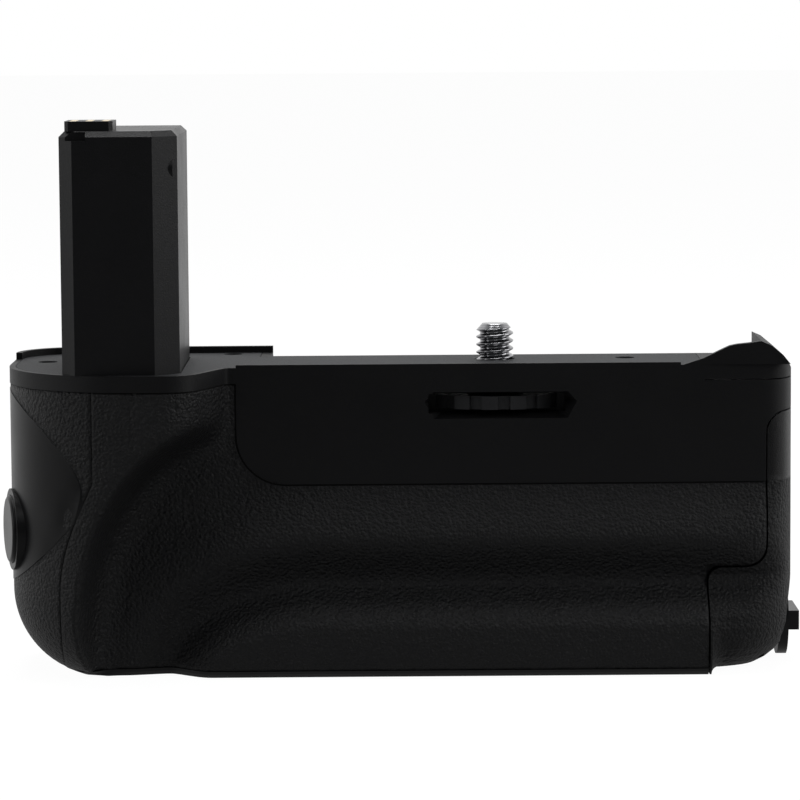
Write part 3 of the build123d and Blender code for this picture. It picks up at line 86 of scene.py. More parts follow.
# %% [markdown]
# ## Shader maths as Python
# A material is a network of nodes. Written out link by link it is hard to read, so a small class wraps an
# output socket, and plus, minus and times on it make the Math nodes. One method makes every other node.


# %% Sums of sockets
class Value:
    """An output socket that can be used in sums."""

    def __init__(self, material, socket):
        self.material = material
        self.socket = socket

    def _math(self, operation, first, second):
        node = self.material.node("ShaderNodeMath", {"operation": operation}, {0: first, 1: second})
        return node["Value"]

    def __add__(self, other):
        return self._math("ADD", self, other)

    __radd__ = __add__

    def __sub__(self, other):
        return self._math("SUBTRACT", self, other)

    def __rsub__(self, other):
        return self._math("SUBTRACT", other, self)

    def __mul__(self, other):
        return self._math("MULTIPLY", self, other)

    __rmul__ = __mul__

    def __lt__(self, other):
        return self._math("LESS_THAN", self, other)


class Outputs:
    """The outputs of one node, by name or number."""

    def __init__(self, material, node):
        self.material = material
        self.node = node

    def __getitem__(self, name):
        return Value(self.material, self.node.outputs[name])


print("sockets can be added, subtracted, multiplied and compared")

# %% [markdown]
# ## A tree of nodes
# Materials and the sky are both trees of nodes, so one class builds either. The nodes that come up again and
# again, such as noise, a ramp or a bump, get a short name of their own. A finish is a tree with the main
# surface shader in it.


# %% Trees and finishes
class Shades:
    """A node tree under construction."""

    def __init__(self, data):
        data.use_nodes = True
        self.data = data
        self.tree = data.node_tree

    def node(self, kind, settings=None, inputs=None):
        """Any node, from its type, its settings and the values or links of its sockets."""
        made = self.tree.nodes.new(kind)
        for key, value in (settings or {}).items():
            if key == "stops":
                ramp = made.color_ramp
                for number, (place, shade) in enumerate(value):
                    stop = ramp.elements[number] if number < 2 else ramp.elements.new(place)
                    stop.position = place
                    stop.color = (shade, shade, shade, 1)
            else:
                setattr(made, key, value)
        for key, value in (inputs or {}).items():
            self.put(made.inputs[key], value)
        return Outputs(self, made)

    def put(self, socket, value):
        """Link a value to a socket, or write a constant there."""
        if isinstance(value, Value):
            self.tree.links.new(value.socket, socket)
        else:
            socket.default_value = value

    def white_to_camera(self, mirrored):
        """One to the camera and through glass, and a chosen share of white in reflections."""
        path = self.node("ShaderNodeLightPath")
        return path["Is Camera Ray"] + path["Is Transmission Ray"] + path["Is Glossy Ray"] * mirrored

    def place(self):
        """Where a point lies on the object, in metres."""
        return self.node("ShaderNodeTexCoord")["Object"]

    def noise(self, scale, detail=2.0, rough=0.5):
        """Cloudy noise, where a larger scale is a finer grain."""
        inputs = {"Vector": self.place(), "Scale": scale, "Detail": detail, "Roughness": rough}
        return self.node("ShaderNodeTexNoise", {}, inputs)["Fac"]

    def ramp(self, value, stops):
        """A value sent through stops of (place, result)."""
        return self.node("ShaderNodeValToRGB", {"stops": stops}, {"Fac": value})["Color"]

    def shade(self, dark, light, value):
        """A colour between two others."""
        mixed = self.node(
            "ShaderNodeMix", {"data_type": "RGBA"}, {"Factor": value, 6: (*dark, 1), 7: (*light, 1)}
        )
        return Value(self, mixed.node.outputs[2])

    def bump(self, height, distance):
        """A normal that leans as a surface of this height would."""
        inputs = {"Height": height, "Distance": distance, "Strength": 1.0}
        return self.node("ShaderNodeBump", {}, inputs)["Normal"]


class Finish(Shades):
    """The finish of a solid: the main surface shader with its inputs to fill in."""

    def __init__(self, name):
        super().__init__(bpy.data.materials.new(name))
        self.surface = self.tree.nodes["Principled BSDF"]

    def set(self, **inputs):
        """Fill in the shader's sockets, with _ for a space in their names."""
        for key, value in inputs.items():
            self.put(self.surface.inputs[key.replace("_", " ")], value)


print("shader helpers ready")

# %% [markdown]
# ## Moulded plastics
# The grip is nearly black all over, so its looks come from how each surface breaks up the light. The casing
# was moulded in a tool whose walls were roughened with sparks, which leaves a very fine grain. A picture of
# the grain could be wrapped round it, but noise at the real scale has no seams and looks right from near.


# %% Moulded plastics
def moulded(name, dark, light, rough, grain, depth):
    """A moulded black plastic with a fine spark texture and a little unevenness in its gloss."""
    finish = Finish(name)
    fine = finish.noise(grain, 3.0, 0.6)
    broad = finish.noise(90.0, 4.0, 0.55)
    finish.set(
        Base_Color=finish.shade(dark, light, broad * 0.6 + fine * 0.4),
        Roughness=(broad - 0.5) * 0.16 + rough,
        Normal=finish.bump(fine, depth),
        Specular_IOR_Level=0.15,
    )
    return finish.data


casing = moulded("casing", (0.0042, 0.0042, 0.0046), (0.0062, 0.0062, 0.0067), 0.5, 3800.0, 0.00004)
panel = moulded("panel", (0.0039, 0.0039, 0.0042), (0.0056, 0.0056, 0.0060), 0.36, 5200.0, 0.000015)
stalk = moulded("stalk", (0.0062, 0.0062, 0.0067), (0.0086, 0.0086, 0.0092), 0.37, 4200.0, 0.00003)
inside = moulded("inside", (0.0060, 0.0060, 0.0065), (0.0095, 0.0095, 0.0100), 0.55, 3000.0, 0.00003)
knob = moulded("knob", (0.0050, 0.0050, 0.0054), (0.0075, 0.0075, 0.0080), 0.32, 5200.0, 0.000015)
wheel = moulded("wheel", (0.0140, 0.0140, 0.0150), (0.0240, 0.0240, 0.0250), 0.34, 4200.0, 0.00002)
print("moulded plastics ready")

# %% [markdown]
# ## Leather
# The covers are rubber with a leather grain, so that a hand holds them well. The grain could be sculpted, at
# the price of millions of points. Here it is a bump: rounded cells with creases between them, and wrinkles.


# %% Leathery covers
def leather_cells(finish):
    """Rounded cells about half a millimetre across, high in the middle, with creases between them."""
    cells = finish.node(
        "ShaderNodeTexVoronoi", {"feature": "SMOOTH_F1"},
        {"Vector": finish.place(), "Scale": 1900.0, "Smoothness": 0.5, "Randomness": 1.0},
    )["Distance"]
    wrinkles = finish.node(
        "ShaderNodeTexNoise", {},
        {"Vector": finish.place(), "Scale": 1500.0, "Detail": 3.0, "Roughness": 0.65, "Distortion": 1.2},
    )["Fac"]
    return cells, wrinkles


GRAIN_DEPTH = 0.6 * MM


def leather_height(cells, wrinkles, fine):
    """How high the grain stands, from its cells, its wrinkles and a fine noise."""
    return (1.0 - cells) * 0.45 + wrinkles * 0.45 + fine * 0.1


def leather(name):
    """Black leather, as on the covers."""
    finish = Finish(name)
    cells, wrinkles = leather_cells(finish)
    fine = finish.noise(4200.0, 3.0, 0.6)
    broad = finish.noise(120.0, 3.0, 0.5)
    height = leather_height(cells, wrinkles, fine)
    finish.set(
        Base_Color=finish.shade((0.0028, 0.0028, 0.0031), (0.0058, 0.0058, 0.0063), cells * 0.5 + broad * 0.5),
        Roughness=(fine - 0.5) * 0.2 + 0.48,
        Normal=finish.bump(height, GRAIN_DEPTH),
        Specular_IOR_Level=0.2,
    )
    return finish.data


grain = leather("grain")
print("leather ready")

# %% [markdown]
# ## The battery door
# The door at the right end is one moulding, smooth above and leathery below, with a fine groove between. It
# could be split in two meshes. A mask made from the height of each point keeps it whole, as it really is.


# %% The door wears both finishes
PANEL_EDGE_Z, FRONT_HALF_Y = -19.2 * MM, -4.5 * MM
GROOVE_HALF_SQUARED = 2.2e-8


def door_finish():
    """Smooth above the panel's lower edge, leathery below it, on the front of the door only; the narrow dip
    between them is darkened as painted shade.
    """
    finish = Finish("door")
    place = finish.node("ShaderNodeSeparateXYZ", {}, {"Vector": finish.place()})
    depth = place["Z"] - PANEL_EDGE_Z
    front = place["Y"] < FRONT_HALF_Y
    mask = (depth < 0.0) * front
    groove_with_painted_shade = (depth * depth < GROOVE_HALF_SQUARED) * front
    cells, wrinkles = leather_cells(finish)
    fine = finish.noise(4200.0, 3.0, 0.6)
    height = leather_height(cells, wrinkles, fine) * mask + fine * 0.15 * (1.0 - mask) - groove_with_painted_shade * 2.0
    # Along the dip between the smooth and leathery parts the colour goes to its darker end: painted shade,
    # beside the dip in the bump.
    finish.set(
        Base_Color=finish.shade((0.0028, 0.0028, 0.0031), (0.0052, 0.0052, 0.0056), fine * (1.0 - groove_with_painted_shade)),
        Roughness=mask * 0.16 + 0.4 + (fine - 0.5) * 0.12,
        Normal=finish.bump(height, GRAIN_DEPTH),
        Specular_IOR_Level=0.18,
    )
    return finish.data


door = door_finish()
print("door finish ready")

# %% [markdown]
# ## Paint and metals
# The plate under the camera is sheet metal with a sandy grey paint. The screw, the springs and the contacts
# are bare metal. A bare metal has almost no colour of its own: it mirrors the studio, and fine turning marks
# and slight stains are what keep it from looking like a mirror.


# %% Paint, steel and other metals
def painted_plate():
    """Dark grey paint with a sandy grain, as on the plate under the camera."""
    finish = Finish("plate_paint")
    sand = finish.noise(3600.0, 4.0, 0.7)
    broad = finish.noise(60.0, 3.0, 0.5)
    finish.set(
        Base_Color=finish.shade((0.018, 0.019, 0.020), (0.040, 0.041, 0.044), sand * 0.7 + broad * 0.3),
        Roughness=(sand - 0.5) * 0.3 + 0.62,
        Specular_IOR_Level=0.12,
        Normal=finish.bump(sand, 0.00005),
    )
    return finish.data


def metal(name, dark, light, rough, grain_scale, depth):
    """Bare metal with fine turning marks and slight stains."""
    finish = Finish(name)
    marks = finish.node(
        "ShaderNodeTexWave", {"wave_type": "BANDS", "bands_direction": "Z"},
        {"Vector": finish.place(), "Scale": grain_scale, "Distortion": 1.5, "Detail": 2.0},
    )["Fac"]
    stains = finish.noise(500.0, 4.0, 0.6)
    finish.set(
        Base_Color=finish.shade(dark, light, stains * 0.7 + marks * 0.3),
        Metallic=1.0,
        Roughness=rough + (stains - 0.5) * 0.18,
        Normal=finish.bump(marks, depth),
    )
    return finish.data


def board_lacquer():
    """A green circuit board with faint tracks."""
    finish = Finish("board")
    tracks = finish.node(
        "ShaderNodeTexBrick", {}, {"Vector": finish.place(), "Scale": 260.0, "Mortar Size": 0.03}
    )["Fac"]
    finish.set(
        Base_Color=finish.shade((0.008, 0.045, 0.02), (0.02, 0.09, 0.04), tracks),
        Roughness=tracks * 0.2 + 0.3,
        Normal=finish.bump(tracks, 0.00003),
    )
    return finish.data


paint = painted_plate()
steel = metal("steel", (0.14, 0.14, 0.15), (0.46, 0.46, 0.47), 0.16, 900.0, 0.000005)
black_steel = metal("black_steel", (0.010, 0.010, 0.011), (0.022, 0.022, 0.024), 0.42, 700.0, 0.000006)
spring_steel = metal("spring_steel", (0.30, 0.30, 0.32), (0.52, 0.52, 0.54), 0.3, 700.0, 0.000005)
gold = metal("gold", (0.62, 0.44, 0.16), (0.83, 0.64, 0.28), 0.24, 700.0, 0.000004)
bronze = metal("bronze", (0.34, 0.22, 0.09), (0.52, 0.36, 0.17), 0.32, 800.0, 0.000006)
board = board_lacquer()
print("metals ready")

# %% [markdown]
# ## Finishes onto the solids
# Most solids already have the right shape, so they keep their mesh and get a finish. The list goes by finish,
# as a maker's parts list would, because many small pieces share one.

# %% Assign finishes
finishes = {
    casing: ["front_case", "back_case", "right_cap"],
    panel: ["left_end_panel", "button_bezel", "shutter_button", "power_switch_slider"],
    grain: ["rear_grip_skin"],
    door: ["tray_door"],
    knob: ["lock_knob"],
    stalk: ["stalk_left_shell", "stalk_right_shell", "terminal_block"],
    inside: [
        "battery_chamber", "battery_tray", "contact_block", "shutter_switch", "power_switch_body", "remote_jack",
    ],
    paint: ["top_plate"],
    steel: ["tripod_socket"],
    black_steel: ["plate_screws", "case_screws", "door_screws"],
    wheel: ["thumb_wheel"],
    spring_steel: [
        "shutter_spring", "battery_springs", "screw_clip", "button_clip", "screw_bracket", "bracket_screws",
        "board_screws", "stalk_screws", "lock_finger",
    ],
    gold: ["stalk_contacts", "chamber_contacts", "tray_contacts", "battery_contacts"],
    bronze: ["screw_bush"],
    board: ["shutter_board", "stalk_board", "main_board"],
}
for material, names in finishes.items():
    for name in names:
        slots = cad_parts[name].data.materials
        if len(slots) == 0:
            slots.append(material)
        for number in range(len(slots)):
            slots[number] = material
print("finished solids", sum(len(names) for names in finishes.values()))

# %% [markdown]
# ## Softened edges
# A moulded edge is never knife-sharp, and the thin highlight along it shows the form. The solids could be
# rounded one edge at a time. A bevel modifier rounds every sharp edge at once and leaves the mesh as it is.

# %% Softened edges
BEVEL_FROM = math.radians(40)
bevels = {
    "stalk_left_shell": 0.25, "stalk_right_shell": 0.25, "terminal_block": 0.15, "right_cap": 0.2,
    "thumb_wheel": 0.12, "lock_knob": 0.25, "button_bezel": 0.15, "top_plate": 0.12, "power_switch_slider": 0.2,
}
for name, width in bevels.items():
    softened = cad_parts[name].modifiers.new("edge", "BEVEL")
    softened.width = width * MM
    softened.segments = 2
    softened.limit_method = "ANGLE"
    softened.angle_limit = BEVEL_FROM
print("bevelled", len(bevels))

# %% [markdown]
# ## The sculpted front
# The front is one flowing surface: the hand grip bulge at the left, a finger scoop under it, a soft belly
# and a ridge along the bottom. On the real object a leathery cover is glued over it. It is made here as a
# grid of points, each pushed forward by the same rules of arcs and slopes that shape the solid, so that it
# is far smoother than the solid and lies exactly on it.

# %% Sizes of the front
LEFT, HEIGHT = 80.2, 50.6
PANEL_Y, BULGE_Y, PARTING_Y = 13.8, 27.5, 4.5
END_ROUND, END_START, END_LOW_ROUND, END_LOW_SHIFT = 22.0, 5.5, 14.0, 4.0
SKIN_TOP, SKIN_LOW, SEAM_GAP = 2.7, 49.3, 0.1
PANEL_LEFT, PANEL_LOW, PANEL_CORNER, HIDDEN = 42.6, 19.2, 8.0, 2.6
DOOR_X, DOOR_STEP, DOOR_LOW_X, DOOR_CORNER = 44.0, 33.2, 34.3, 3.4
BULGE_X, SCOOP_X, SCOOP_LOW, SCOOP_WIDTH, SCOOP_HEIGHT = 54.0, 40.0, 47.0, 31.5, 41.5
RIDGE_X, RIDGE_RUN, RIDGE_HEIGHT = 28.1, 24.7, 14.1
BELLY_TOP, BELLY_CREST, BELLY_FOOT = 17.7, 8.6, 1.2
RIGHT_ROUND_X, RIGHT_ROUND, RIGHT_ROUND_START = 34.8, 14.0, 5.0
print("front", LEFT, "to the left and", HEIGHT, "high")

# %% [markdown]
# ## Rules of the relief
# A moulding is drawn with a few plain rules: an edge that falls by an arc, a slope and an arc, a rounded
# outline round the scoop, and soft swells. Each rule is a small function that gives a share or a distance, so
# that the height of any point of the front is a short sum.


# %% Slopes, outlines and swells
def smooth(share):
    """A share that starts and ends level."""
    share = min(max(share, 0.0), 1.0)
    return share * share * (3 - 2 * share)


def step_share(run, drop, crown, foot, degrees):
    """Share of a drop that is left after a run across an edge: an arc, a slope and an arc."""
    angle = math.radians(degrees)
    slope_length = (drop - (crown + foot) * (1 - math.cos(angle))) / math.sin(angle)
    full_run = (crown + foot) * math.sin(angle) + slope_length * math.cos(angle)
    if run <= 0:
        return 1.0
    if run >= full_run:
        return 0.0
    if run < crown * math.sin(angle):
        return 1 - (crown - math.sqrt(crown**2 - run**2)) / drop
    left = full_run - run
    if left < foot * math.sin(angle):
        return (foot - math.sqrt(foot**2 - left**2)) / drop
    fallen = crown * (1 - math.cos(angle)) + (run - crown * math.sin(angle)) * math.tan(angle)
    return 1 - fallen / drop


def ellipse_distance(u, v, width, height, power):
    """Rough distance outward from a superellipse."""
    size = (u**power + v**power) ** (1 / power)
    if size == 0:
        return -min(width, height)
    slope = math.hypot((u / size) ** (power - 1) / width, (v / size) ** (power - 1) / height)
    return (size - 1) / slope


print("4 mm along a 10 mm drop", round(step_share(4.0, 10.0, 3.0, 3.0, 60.0), 2), "of it is left")


# %% The relief
def relief(x, z):
    """How far the front stands forward of the screw's axis, in millimetres."""
    drop = BULGE_Y - PANEL_Y
    flank = step_share(x + BULGE_X, drop, 6.2, 1.5, 68.0)
    u = max(-SCOOP_X - x, 0.0) / SCOOP_WIDTH
    v = max(z + SCOOP_LOW, 0.0) / SCOOP_HEIGHT
    above = step_share(-ellipse_distance(u, v, SCOOP_WIDTH, SCOOP_HEIGHT, 2.2), drop, 2.6, 5.5, 72.0)
    if x > -RIDGE_X:
        height = z + HEIGHT - RIDGE_HEIGHT - 1.6 * smooth((x - 38.0) / 12.0)
    else:
        u = (-RIDGE_X - x) / RIDGE_RUN
        v = max(z + HEIGHT, 0.0) / RIDGE_HEIGHT
        height = ellipse_distance(u, v, RIDGE_RUN, RIDGE_HEIGHT, 2)
    rise = smooth((BELLY_TOP - height) / (BELLY_TOP - BELLY_CREST))
    fall = smooth((height - BELLY_FOOT) / (BELLY_CREST - BELLY_FOOT))
    fade = 0.45 + 0.55 * smooth((x + 60.0) / 22.0)
    ridge = smooth((1.0 - height) / 7.0) ** 0.75
    lean_share = max(-z - 44.0, 0.0) / (HEIGHT - 44.0)
    swell = 3.0 * fade * rise * fall + 5.4 * ridge * (1 - 0.2 * lean_share**2)
    low = min(max((2.0 - z - HEIGHT) / 2.0, 0.0), 1.0)
    draft = 0.5 * smooth((x - 31.0) / 16.0)
    return PANEL_Y + drop * flank * above + swell * (1 - above) - 1.2 * low**2 - draft


def drawn_in(z, low_round):
    """How far a side has drawn in at a height, along its low corner."""
    depth = -z - (HEIGHT - low_round)
    return low_round - math.sqrt(max(low_round**2 - max(depth, 0.0) ** 2, 0.0))


def front_reach(x, z):
    """Reach of the front with the rounded left end included."""
    drawn = drawn_in(z, END_LOW_ROUND)
    left = -LEFT + drawn
    radius = END_ROUND - drawn
    start = END_START + END_LOW_SHIFT * drawn / END_LOW_ROUND
    reach = relief(x, z)
    if x < left + radius:
        arc = start + math.sqrt(max(radius**2 - (left + radius - x) ** 2, 0.0))
        near = max(1.0 - abs(reach - arc), 0.0)
        reach = min(reach, arc) - near**2 / 4
    if x > RIGHT_ROUND_X:
        arc = RIGHT_ROUND_START + math.sqrt(max(RIGHT_ROUND**2 - (x - RIGHT_ROUND_X) ** 2, 0.0))
        near = max(3.0 - abs(reach - arc), 0.0) / 3.0
        reach = min(reach, arc) - near**2 * 0.75
    return reach


def end_seam(z):
    """Where the seam between the two covers runs at a height."""
    share = min(max((-z - 17.4) / (36.0 - 17.4), 0.0), 1.0)
    return -65.3 - 5.7 * math.sin(math.radians(90 * share))


print("front reaches", round(front_reach(-60, -10), 2), "at the bulge")

# %% [markdown]
# ## From points to a cover
# A cover is a sheet about a millimetre thick whose edge shows at the seams. It could be a solid with two
# faces, but only its outside and a short turned-in edge are ever seen. So the mesh is one grid with a skirt,
# and places that lie behind the smooth panel get no points at all.


# %% A grid that follows the front
def grid_piece(name, rows, skirt):
    """A mesh from rows of points that share a count, with a short skirt turned in along its edges."""
    mesh = bpy.data.meshes.new(name)
    piece = bpy.data.objects.new(name, mesh)
    bpy.context.scene.collection.objects.link(piece)
    grid = bmesh.new()
    made = [[grid.verts.new(Vector(point) * MM) if point else None for point in row] for row in rows]
    for upper, lower in zip(made, made[1:]):
        for a, b, c, d in zip(upper, upper[1:], lower[1:], lower):
            if a and b and c and d:
                grid.faces.new((a, d, c, b))
    loose = [vertex for vertex in grid.verts if not vertex.link_faces]
    bmesh.ops.delete(grid, geom=loose, context="VERTS")
    rim = [edge for edge in grid.edges if edge.is_boundary]
    turned = bmesh.ops.extrude_edge_only(grid, edges=rim)["geom"]
    for vertex in turned:
        if isinstance(vertex, bmesh.types.BMVert):
            vertex.co += Vector(skirt) * MM
    bmesh.ops.recalc_face_normals(grid, faces=grid.faces)
    for face in grid.faces:
        face.smooth = True
    grid.to_mesh(mesh)
    grid.free()
    print(name, len(mesh.vertices), "points")
    return piece


def spread(first, last, count):
    """Evenly spaced numbers, both ends included."""
    return [first + (last - first) * step / (count - 1) for step in range(count)]


def surface_point(x, z, inset=0.1):
    """A point of the cover, moved in along the slope, or nothing behind the smooth panel."""
    if x > -PANEL_LEFT + HIDDEN and z > -PANEL_LOW + HIDDEN:
        return None
    step = 0.05
    slope_x = (front_reach(x + step, z) - front_reach(x - step, z)) / (2 * step)
    slope_z = (front_reach(x, z + step) - front_reach(x, z - step)) / (2 * step)
    length = math.sqrt(1 + min(slope_x**2 + slope_z**2, 9.0))
    return (x, -(front_reach(x, z) - inset * length), z)


print("grid helpers ready")

# %% [markdown]
# ## The front cover
# One sheet runs from the seam at the left end to the door, over the bulge, the scoop, the belly and the
# ridge. The door's seam steps back over its knob, at STEP_Z, so the rows under that step are shorter. They
# could be a mesh of their own. As one grid, with no points where the short rows end, there is no joint.

# %% Front cover
STEP_Z = -33.1
ROW_SLACK = 0.01
MAIN_COLUMNS, DOOR_COLUMNS = 196, 20
cover_rows = sorted(set(spread(-SKIN_TOP, STEP_Z, 62) + spread(STEP_Z, -SKIN_LOW, 34)), reverse=True)
rows = []
for z in cover_rows:
    row = [surface_point(x, z) for x in spread(end_seam(z) + SEAM_GAP, DOOR_LOW_X - SEAM_GAP, MAIN_COLUMNS)]
    if z > STEP_Z - ROW_SLACK:
        depth = max(-z - (DOOR_STEP - DOOR_CORNER), 0.0)
        turned = DOOR_CORNER - math.sqrt(max(DOOR_CORNER**2 - depth**2, 0.0))
        edge = DOOR_X - turned - SEAM_GAP
        row += [surface_point(x, z) for x in spread(DOOR_LOW_X - SEAM_GAP, edge, DOOR_COLUMNS)[1:]]
    else:
        row += [None] * (DOOR_COLUMNS - 1)
    rows.append(row)
front_cover = grid_piece("front_cover", rows, (0, 0.8, 0))
front_cover.data.materials.append(grain)
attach(front_cover, "casing")
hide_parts("front_grip_skin")

# %% [markdown]
# ## The painted shade of the seam round the smooth panel
# Where leather meets the moulding there is a narrow gap, and its shade reads as a dark line. It could be cut
# into the cover. A near-black ribbon a quarter of a millimetre wide, laid on the cover, paints that shade as the
# same line with few points. It follows the edge of the band at the top, and then the left and the lower edge of
# the panel.

# %% Panel seam
SEAM_HALF, SEAM_INSET = 0.13, 0.07
# Near-black and matte: the painted shade of the narrow gap at the seam.
gap_shade = moulded("gap_painted_shade", (0.0004, 0.0004, 0.0004), (0.0009, 0.0009, 0.0009), 0.9, 3000.0, 0.00001)
turn_x, turn_z = -PANEL_LEFT + PANEL_CORNER, -PANEL_LOW + PANEL_CORNER
seam = [(x, -SKIN_TOP, 0.0, 1.0) for x in spread(-65.0, -PANEL_LEFT - SEAM_HALF, 60)]
seam += [(-PANEL_LEFT - SEAM_HALF, z, -1.0, 0.0) for z in spread(-SKIN_TOP, turn_z, 24)]
for turn in spread(0.0, 90.0, 16):
    angle = math.radians(turn)
    out_x, out_z = -math.cos(angle), -math.sin(angle)
    radius = PANEL_CORNER + SEAM_HALF
    seam.append((turn_x + radius * out_x, turn_z + radius * out_z, out_x, out_z))
seam += [(x, -PANEL_LOW - SEAM_HALF, 0.0, -1.0) for x in spread(turn_x + 0.5, DOOR_X - 0.3, 150)]
rows = []
for half in (-SEAM_HALF, SEAM_HALF):
    rows.append([surface_point(x + half * out_x, z + half * out_z, SEAM_INSET) for x, z, out_x, out_z in seam])
# The ribbon paints the gap's shade onto the cover.
panel_seam_shade = grid_piece("panel_seam_shade", rows, (0, 0.3, 0))
panel_seam_shade.data.materials.append(gap_shade)
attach(panel_seam_shade, "casing")

# %% [markdown]
# ## The cover of the left end
# The leathery cover goes on round the left end, under the oval panel of the shutter button, which stands a
# tenth of a millimetre proud of it. Here the surface turns through a right angle, so a grid over x would
# stretch. It runs by angle round the end instead, and from FRONT_TURN on it also keeps within the relief.

# %% Left cover
FRONT_TURN = 0.35
rows = []
for z in spread(-SKIN_TOP, -SKIN_LOW, 72):
    drawn = drawn_in(z, END_LOW_ROUND)
    radius = END_ROUND - drawn - SEAM_GAP
    middle_x = -LEFT + END_ROUND
    start = END_START + END_LOW_SHIFT * drawn / END_LOW_ROUND
    seam_x = end_seam(z) - SEAM_GAP
    full = math.acos(min(max((middle_x - seam_x) / radius, -1.0), 1.0))
    row = [(middle_x - radius, y, z) for y in spread(PARTING_Y, -start, 12)[:-1]]
    for turn in spread(0.0, full, 40):
        x = middle_x - radius * math.cos(turn)
        y = -start - radius * math.sin(turn)
        reach = front_reach(x, z) - SEAM_GAP
        row.append((x, max(y, -reach) if turn > FRONT_TURN else y, z))
    rows.append(row)
left_cover = grid_piece("left_cover", rows, (0.5, 0.5, 0))
left_cover.data.materials.append(grain)
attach(left_cover, "casing")
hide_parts("left_end_skin")

# %% [markdown]
# ## A screen round the wheel
# The wheel fills most of its window, and ribs inside a real casing close the rest. Dark strips just above,
# just under and beside the wheel do that here, so that nobody looks through the window and out at the back.
# They are bars with rounded corners, each extruded from one outline.


# %% Window strips
STRIP_CORNER = 0.4


def strip(name, left, right, low, high, y, depth):
    """A thin upright bar across the window, behind its frame."""
    mesh = bmesh.new()
    radius = STRIP_CORNER
    corners = [
        (right - radius, high - radius, 0.0), (left + radius, high - radius, 90.0),
        (left + radius, low + radius, 180.0), (right - radius, low + radius, 270.0),
    ]
    outline = []
    for middle_x, middle_z, start in corners:
        for turn in spread(start, start + 90.0, 5):
            angle = math.radians(turn)
            outline.append((middle_x + radius * math.cos(angle), middle_z + radius * math.sin(angle)))
    front = mesh.faces.new([mesh.verts.new(Vector((x, y, z)) * MM) for x, z in outline])
    pushed = bmesh.ops.extrude_face_region(mesh, geom=[front])["geom"]
    for vertex in pushed:
        if isinstance(vertex, bmesh.types.BMVert):
            vertex.co.y += depth * MM
    bmesh.ops.recalc_face_normals(mesh, faces=mesh.faces)
    data = bpy.data.meshes.new(name)
    mesh.to_mesh(data)
    mesh.free()
    bar = bpy.data.objects.new(name, data)
    bpy.context.scene.collection.objects.link(bar)
    data.materials.append(inside)
    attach(bar, "casing")
    return bar


strip("upper_window_strip", -12.2, 12.2, -4.85, -1.8, -9.2, 0.6)
strip("lower_window_strip", -12.6, 12.6, -9.6, -7.22, -9.2, 2.0)
strip("left_window_strip", -13.0, -9.95, -9.0, -2.6, -9.7, 0.4)
strip("right_window_strip", 9.95, 13.0, -9.0, -2.6, -9.7, 0.4)
print("window strips made")

# %% [markdown]
# ## The camera screw
# The solid has rings where the real screw has a thread. A screw modifier could wind a profile, but it leaves
# the ends open. Here the thread is one ridge that climbs round the core at the real pitch: for each angle and
# height a rule gives the radius, and a turned lead-in narrows the top.

# %% Thread
PITCH, CREST, ROOT, TOP, FOOT = 1.27, 3.1, 2.42, 5.9, -1.5
AROUND, LEVELS_PER_TURN = 96, 16
profile = [(0.0, ROOT), (0.16, ROOT), (0.48, CREST), (0.64, CREST), (0.96, ROOT), (1.0, ROOT)]
levels = int(round((TOP - FOOT) / PITCH * LEVELS_PER_TURN))


def thread_radius(turned, z):
    """The screw's radius at an angle and a height."""
    phase = ((z - FOOT) / PITCH - turned / (2 * math.pi)) % 1.0
    for (low, low_radius), (high, high_radius) in zip(profile, profile[1:]):
        if low <= phase <= high:
            radius = low_radius + (high_radius - low_radius) * (phase - low) / (high - low)
            break
    lead_in = ROOT - 0.35 + max(TOP - z, 0.0) * 0.9
    return min(radius, lead_in)


print("thread of", levels, "levels")

# %% Shank, thread and end
SHANK, SHANK_HEIGHTS, END_FACE = 2.4, (-1.9, -10.3), 0.62
turns = [2 * math.pi * step / AROUND for step in range(AROUND)]
screw_mesh = bmesh.new()
rings = []
for level in range(levels + 1):
    z = FOOT + (TOP - FOOT) * level / levels
    ring = []
    for turned in turns:
        radius = thread_radius(turned, z)
        ring.append(screw_mesh.verts.new(Vector((radius * math.cos(turned), radius * math.sin(turned), z)) * MM))
    rings.append(ring)
for z in SHANK_HEIGHTS:
    circle = [Vector((SHANK * math.cos(turned), SHANK * math.sin(turned), z)) * MM for turned in turns]
    rings.insert(0, [screw_mesh.verts.new(point) for point in circle])
rings.append([screw_mesh.verts.new(Vector((END_FACE, END_FACE, 1)) * vertex.co) for vertex in rings[-1]])
for lower, upper in zip(rings, rings[1:]):
    for step in range(AROUND):
        after = (step + 1) % AROUND
        screw_mesh.faces.new((lower[step], lower[after], upper[after], upper[step]))
screw_mesh.faces.new(list(reversed(rings[0])))
screw_mesh.faces.new(rings[-1])
bmesh.ops.recalc_face_normals(screw_mesh, faces=screw_mesh.faces)
thread_data = bpy.data.meshes.new("threaded_screw")
screw_mesh.to_mesh(thread_data)
screw_mesh.free()
threaded = bpy.data.objects.new("threaded_screw", thread_data)
bpy.context.scene.collection.objects.link(threaded)
thread_data.materials.append(steel)
thread_data.shade_smooth()
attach(threaded, "screw")
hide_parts("camera_screw")
print("thread points", len(thread_data.vertices))

# %% [markdown]
# ## The studio
# The photograph is a cut-out on pure white, lit from above and behind, so the plate and the right side of
# the stalk shine at a grazing angle while the front stays dark. The table is white to the camera, keeps the
# grip's shadow, and shows in reflections as white at the back and dark at the front, like a real studio.

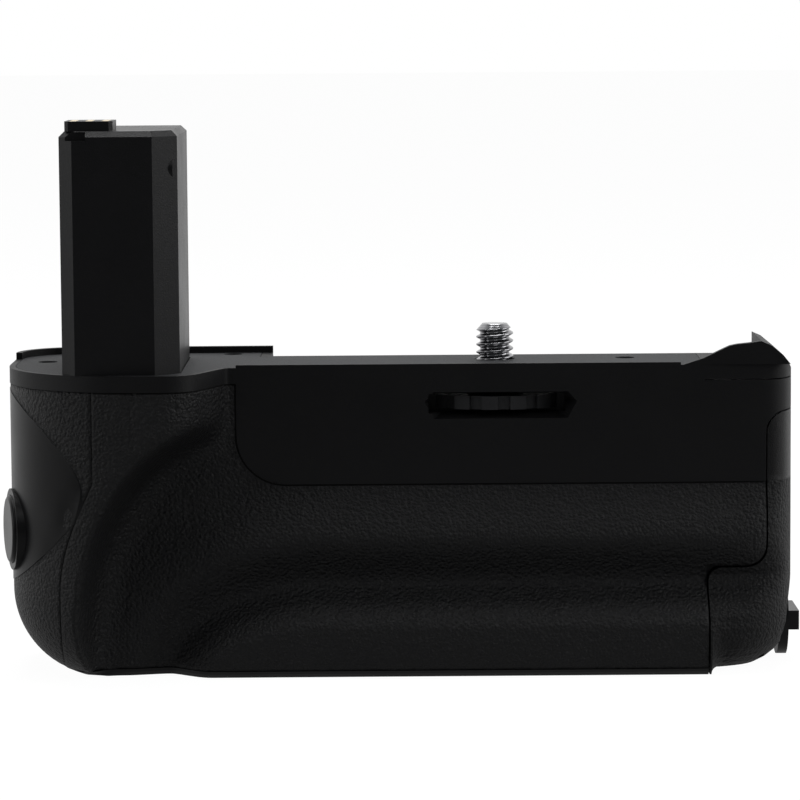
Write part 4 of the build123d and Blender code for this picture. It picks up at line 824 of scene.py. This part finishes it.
# %% Table
WHITE_SHARE, TABLE_HALF = 0.88, 6.0
SQUARE = [(-1, -1), (1, -1), (1, 1), (-1, 1)]
table_finish = Shades(bpy.data.materials.new("table"))
along = table_finish.node("ShaderNodeSeparateXYZ", {}, {"Vector": table_finish.place()})
near = table_finish.ramp(along["Y"] + 0.5, [(0.2, 0.04), (0.62, 0.9)])
plain = table_finish.node("ShaderNodeBsdfDiffuse", {}, {"Color": (0.55, 0.55, 0.55, 1)})["BSDF"]
glow = table_finish.node("ShaderNodeEmission", {}, {"Color": (1, 1, 1, 1), "Strength": 1.1})["Emission"]
dark = table_finish.node("ShaderNodeEmission", {}, {"Color": (1, 1, 1, 1), "Strength": 0.03})["Emission"]
white = table_finish.white_to_camera(near) * WHITE_SHARE
lit = table_finish.node("ShaderNodeMixShader", {}, {0: white, 1: plain, 2: glow})["Shader"]
far = table_finish.node("ShaderNodeLightPath")["Is Glossy Ray"] * (1.0 - near)
mixed = table_finish.node("ShaderNodeMixShader", {}, {0: far, 1: lit, 2: dark})["Shader"]
table_finish.put(table_finish.tree.nodes["Material Output"].inputs["Surface"], mixed)

corners = [(side_x * TABLE_HALF, side_y * TABLE_HALF, cad_low[2]) for side_x, side_y in SQUARE]
table_data = bpy.data.meshes.new("table")
table_data.from_pydata(corners, [], [(0, 1, 2, 3)])
table = bpy.data.objects.new("table", table_data)
bpy.context.scene.collection.objects.link(table)
table_data.materials.append(table_finish.data)
print("table at", round(cad_low[2] / MM, 2), "mm")

# %% [markdown]
# ## The sky and the lamps
# The sky is white to the camera and in reflections from behind, and dim in front, where the real studio had
# a dark room and a camera. Four soft square lamps light the grip from above, from both sides and in front.

# %% Sky
studio = bpy.data.worlds.new("studio")
bpy.context.scene.world = studio
sky = Shades(studio)
way = sky.node("ShaderNodeSeparateXYZ", {}, {"Vector": sky.node("ShaderNodeTexCoord")["Generated"]})
mirrored = sky.ramp(way["Y"] * 0.5 + 0.5, [(0.0, 0.02), (0.46, 0.08), (0.7, 1.0)])
dim = sky.node("ShaderNodeBackground", {}, {"Color": (0.92, 0.96, 1.0, 1), "Strength": 0.16})["Background"]
bright = sky.node("ShaderNodeBackground", {}, {"Color": (1, 1, 1, 1), "Strength": 1.0})["Background"]
mixed = sky.node("ShaderNodeMixShader", {}, {0: sky.white_to_camera(mirrored), 1: dim, 2: bright})["Shader"]
sky.put(sky.tree.nodes["World Output"].inputs["Surface"], mixed)
print("sky ready")


# %% Lamps
def lamp(name, place, target, size, power):
    """A soft square lamp that looks at a point."""
    light = bpy.data.lights.new(name, "AREA")
    light.size = size
    light.energy = power
    holder = bpy.data.objects.new(name, light)
    bpy.context.scene.collection.objects.link(holder)
    holder.location = place
    holder.rotation_euler = (Vector(target) - Vector(place)).to_track_quat("-Z", "Y").to_euler()
    return holder


lamp("overhead", (0.0, 0.2, 0.9), (0, 0, 0), 0.6, 6.5)
lamp("right_side", (0.8, -0.1, 0.3), (0, 0, 0), 0.5, 3.0)
lamp("left_side", (-0.8, -0.2, 0.25), (0, 0, 0), 0.5, 1.8)
lamp("front", (0.1, -0.9, 1.1), (0, 0, 0), 0.7, 3.0)
print("studio ready")
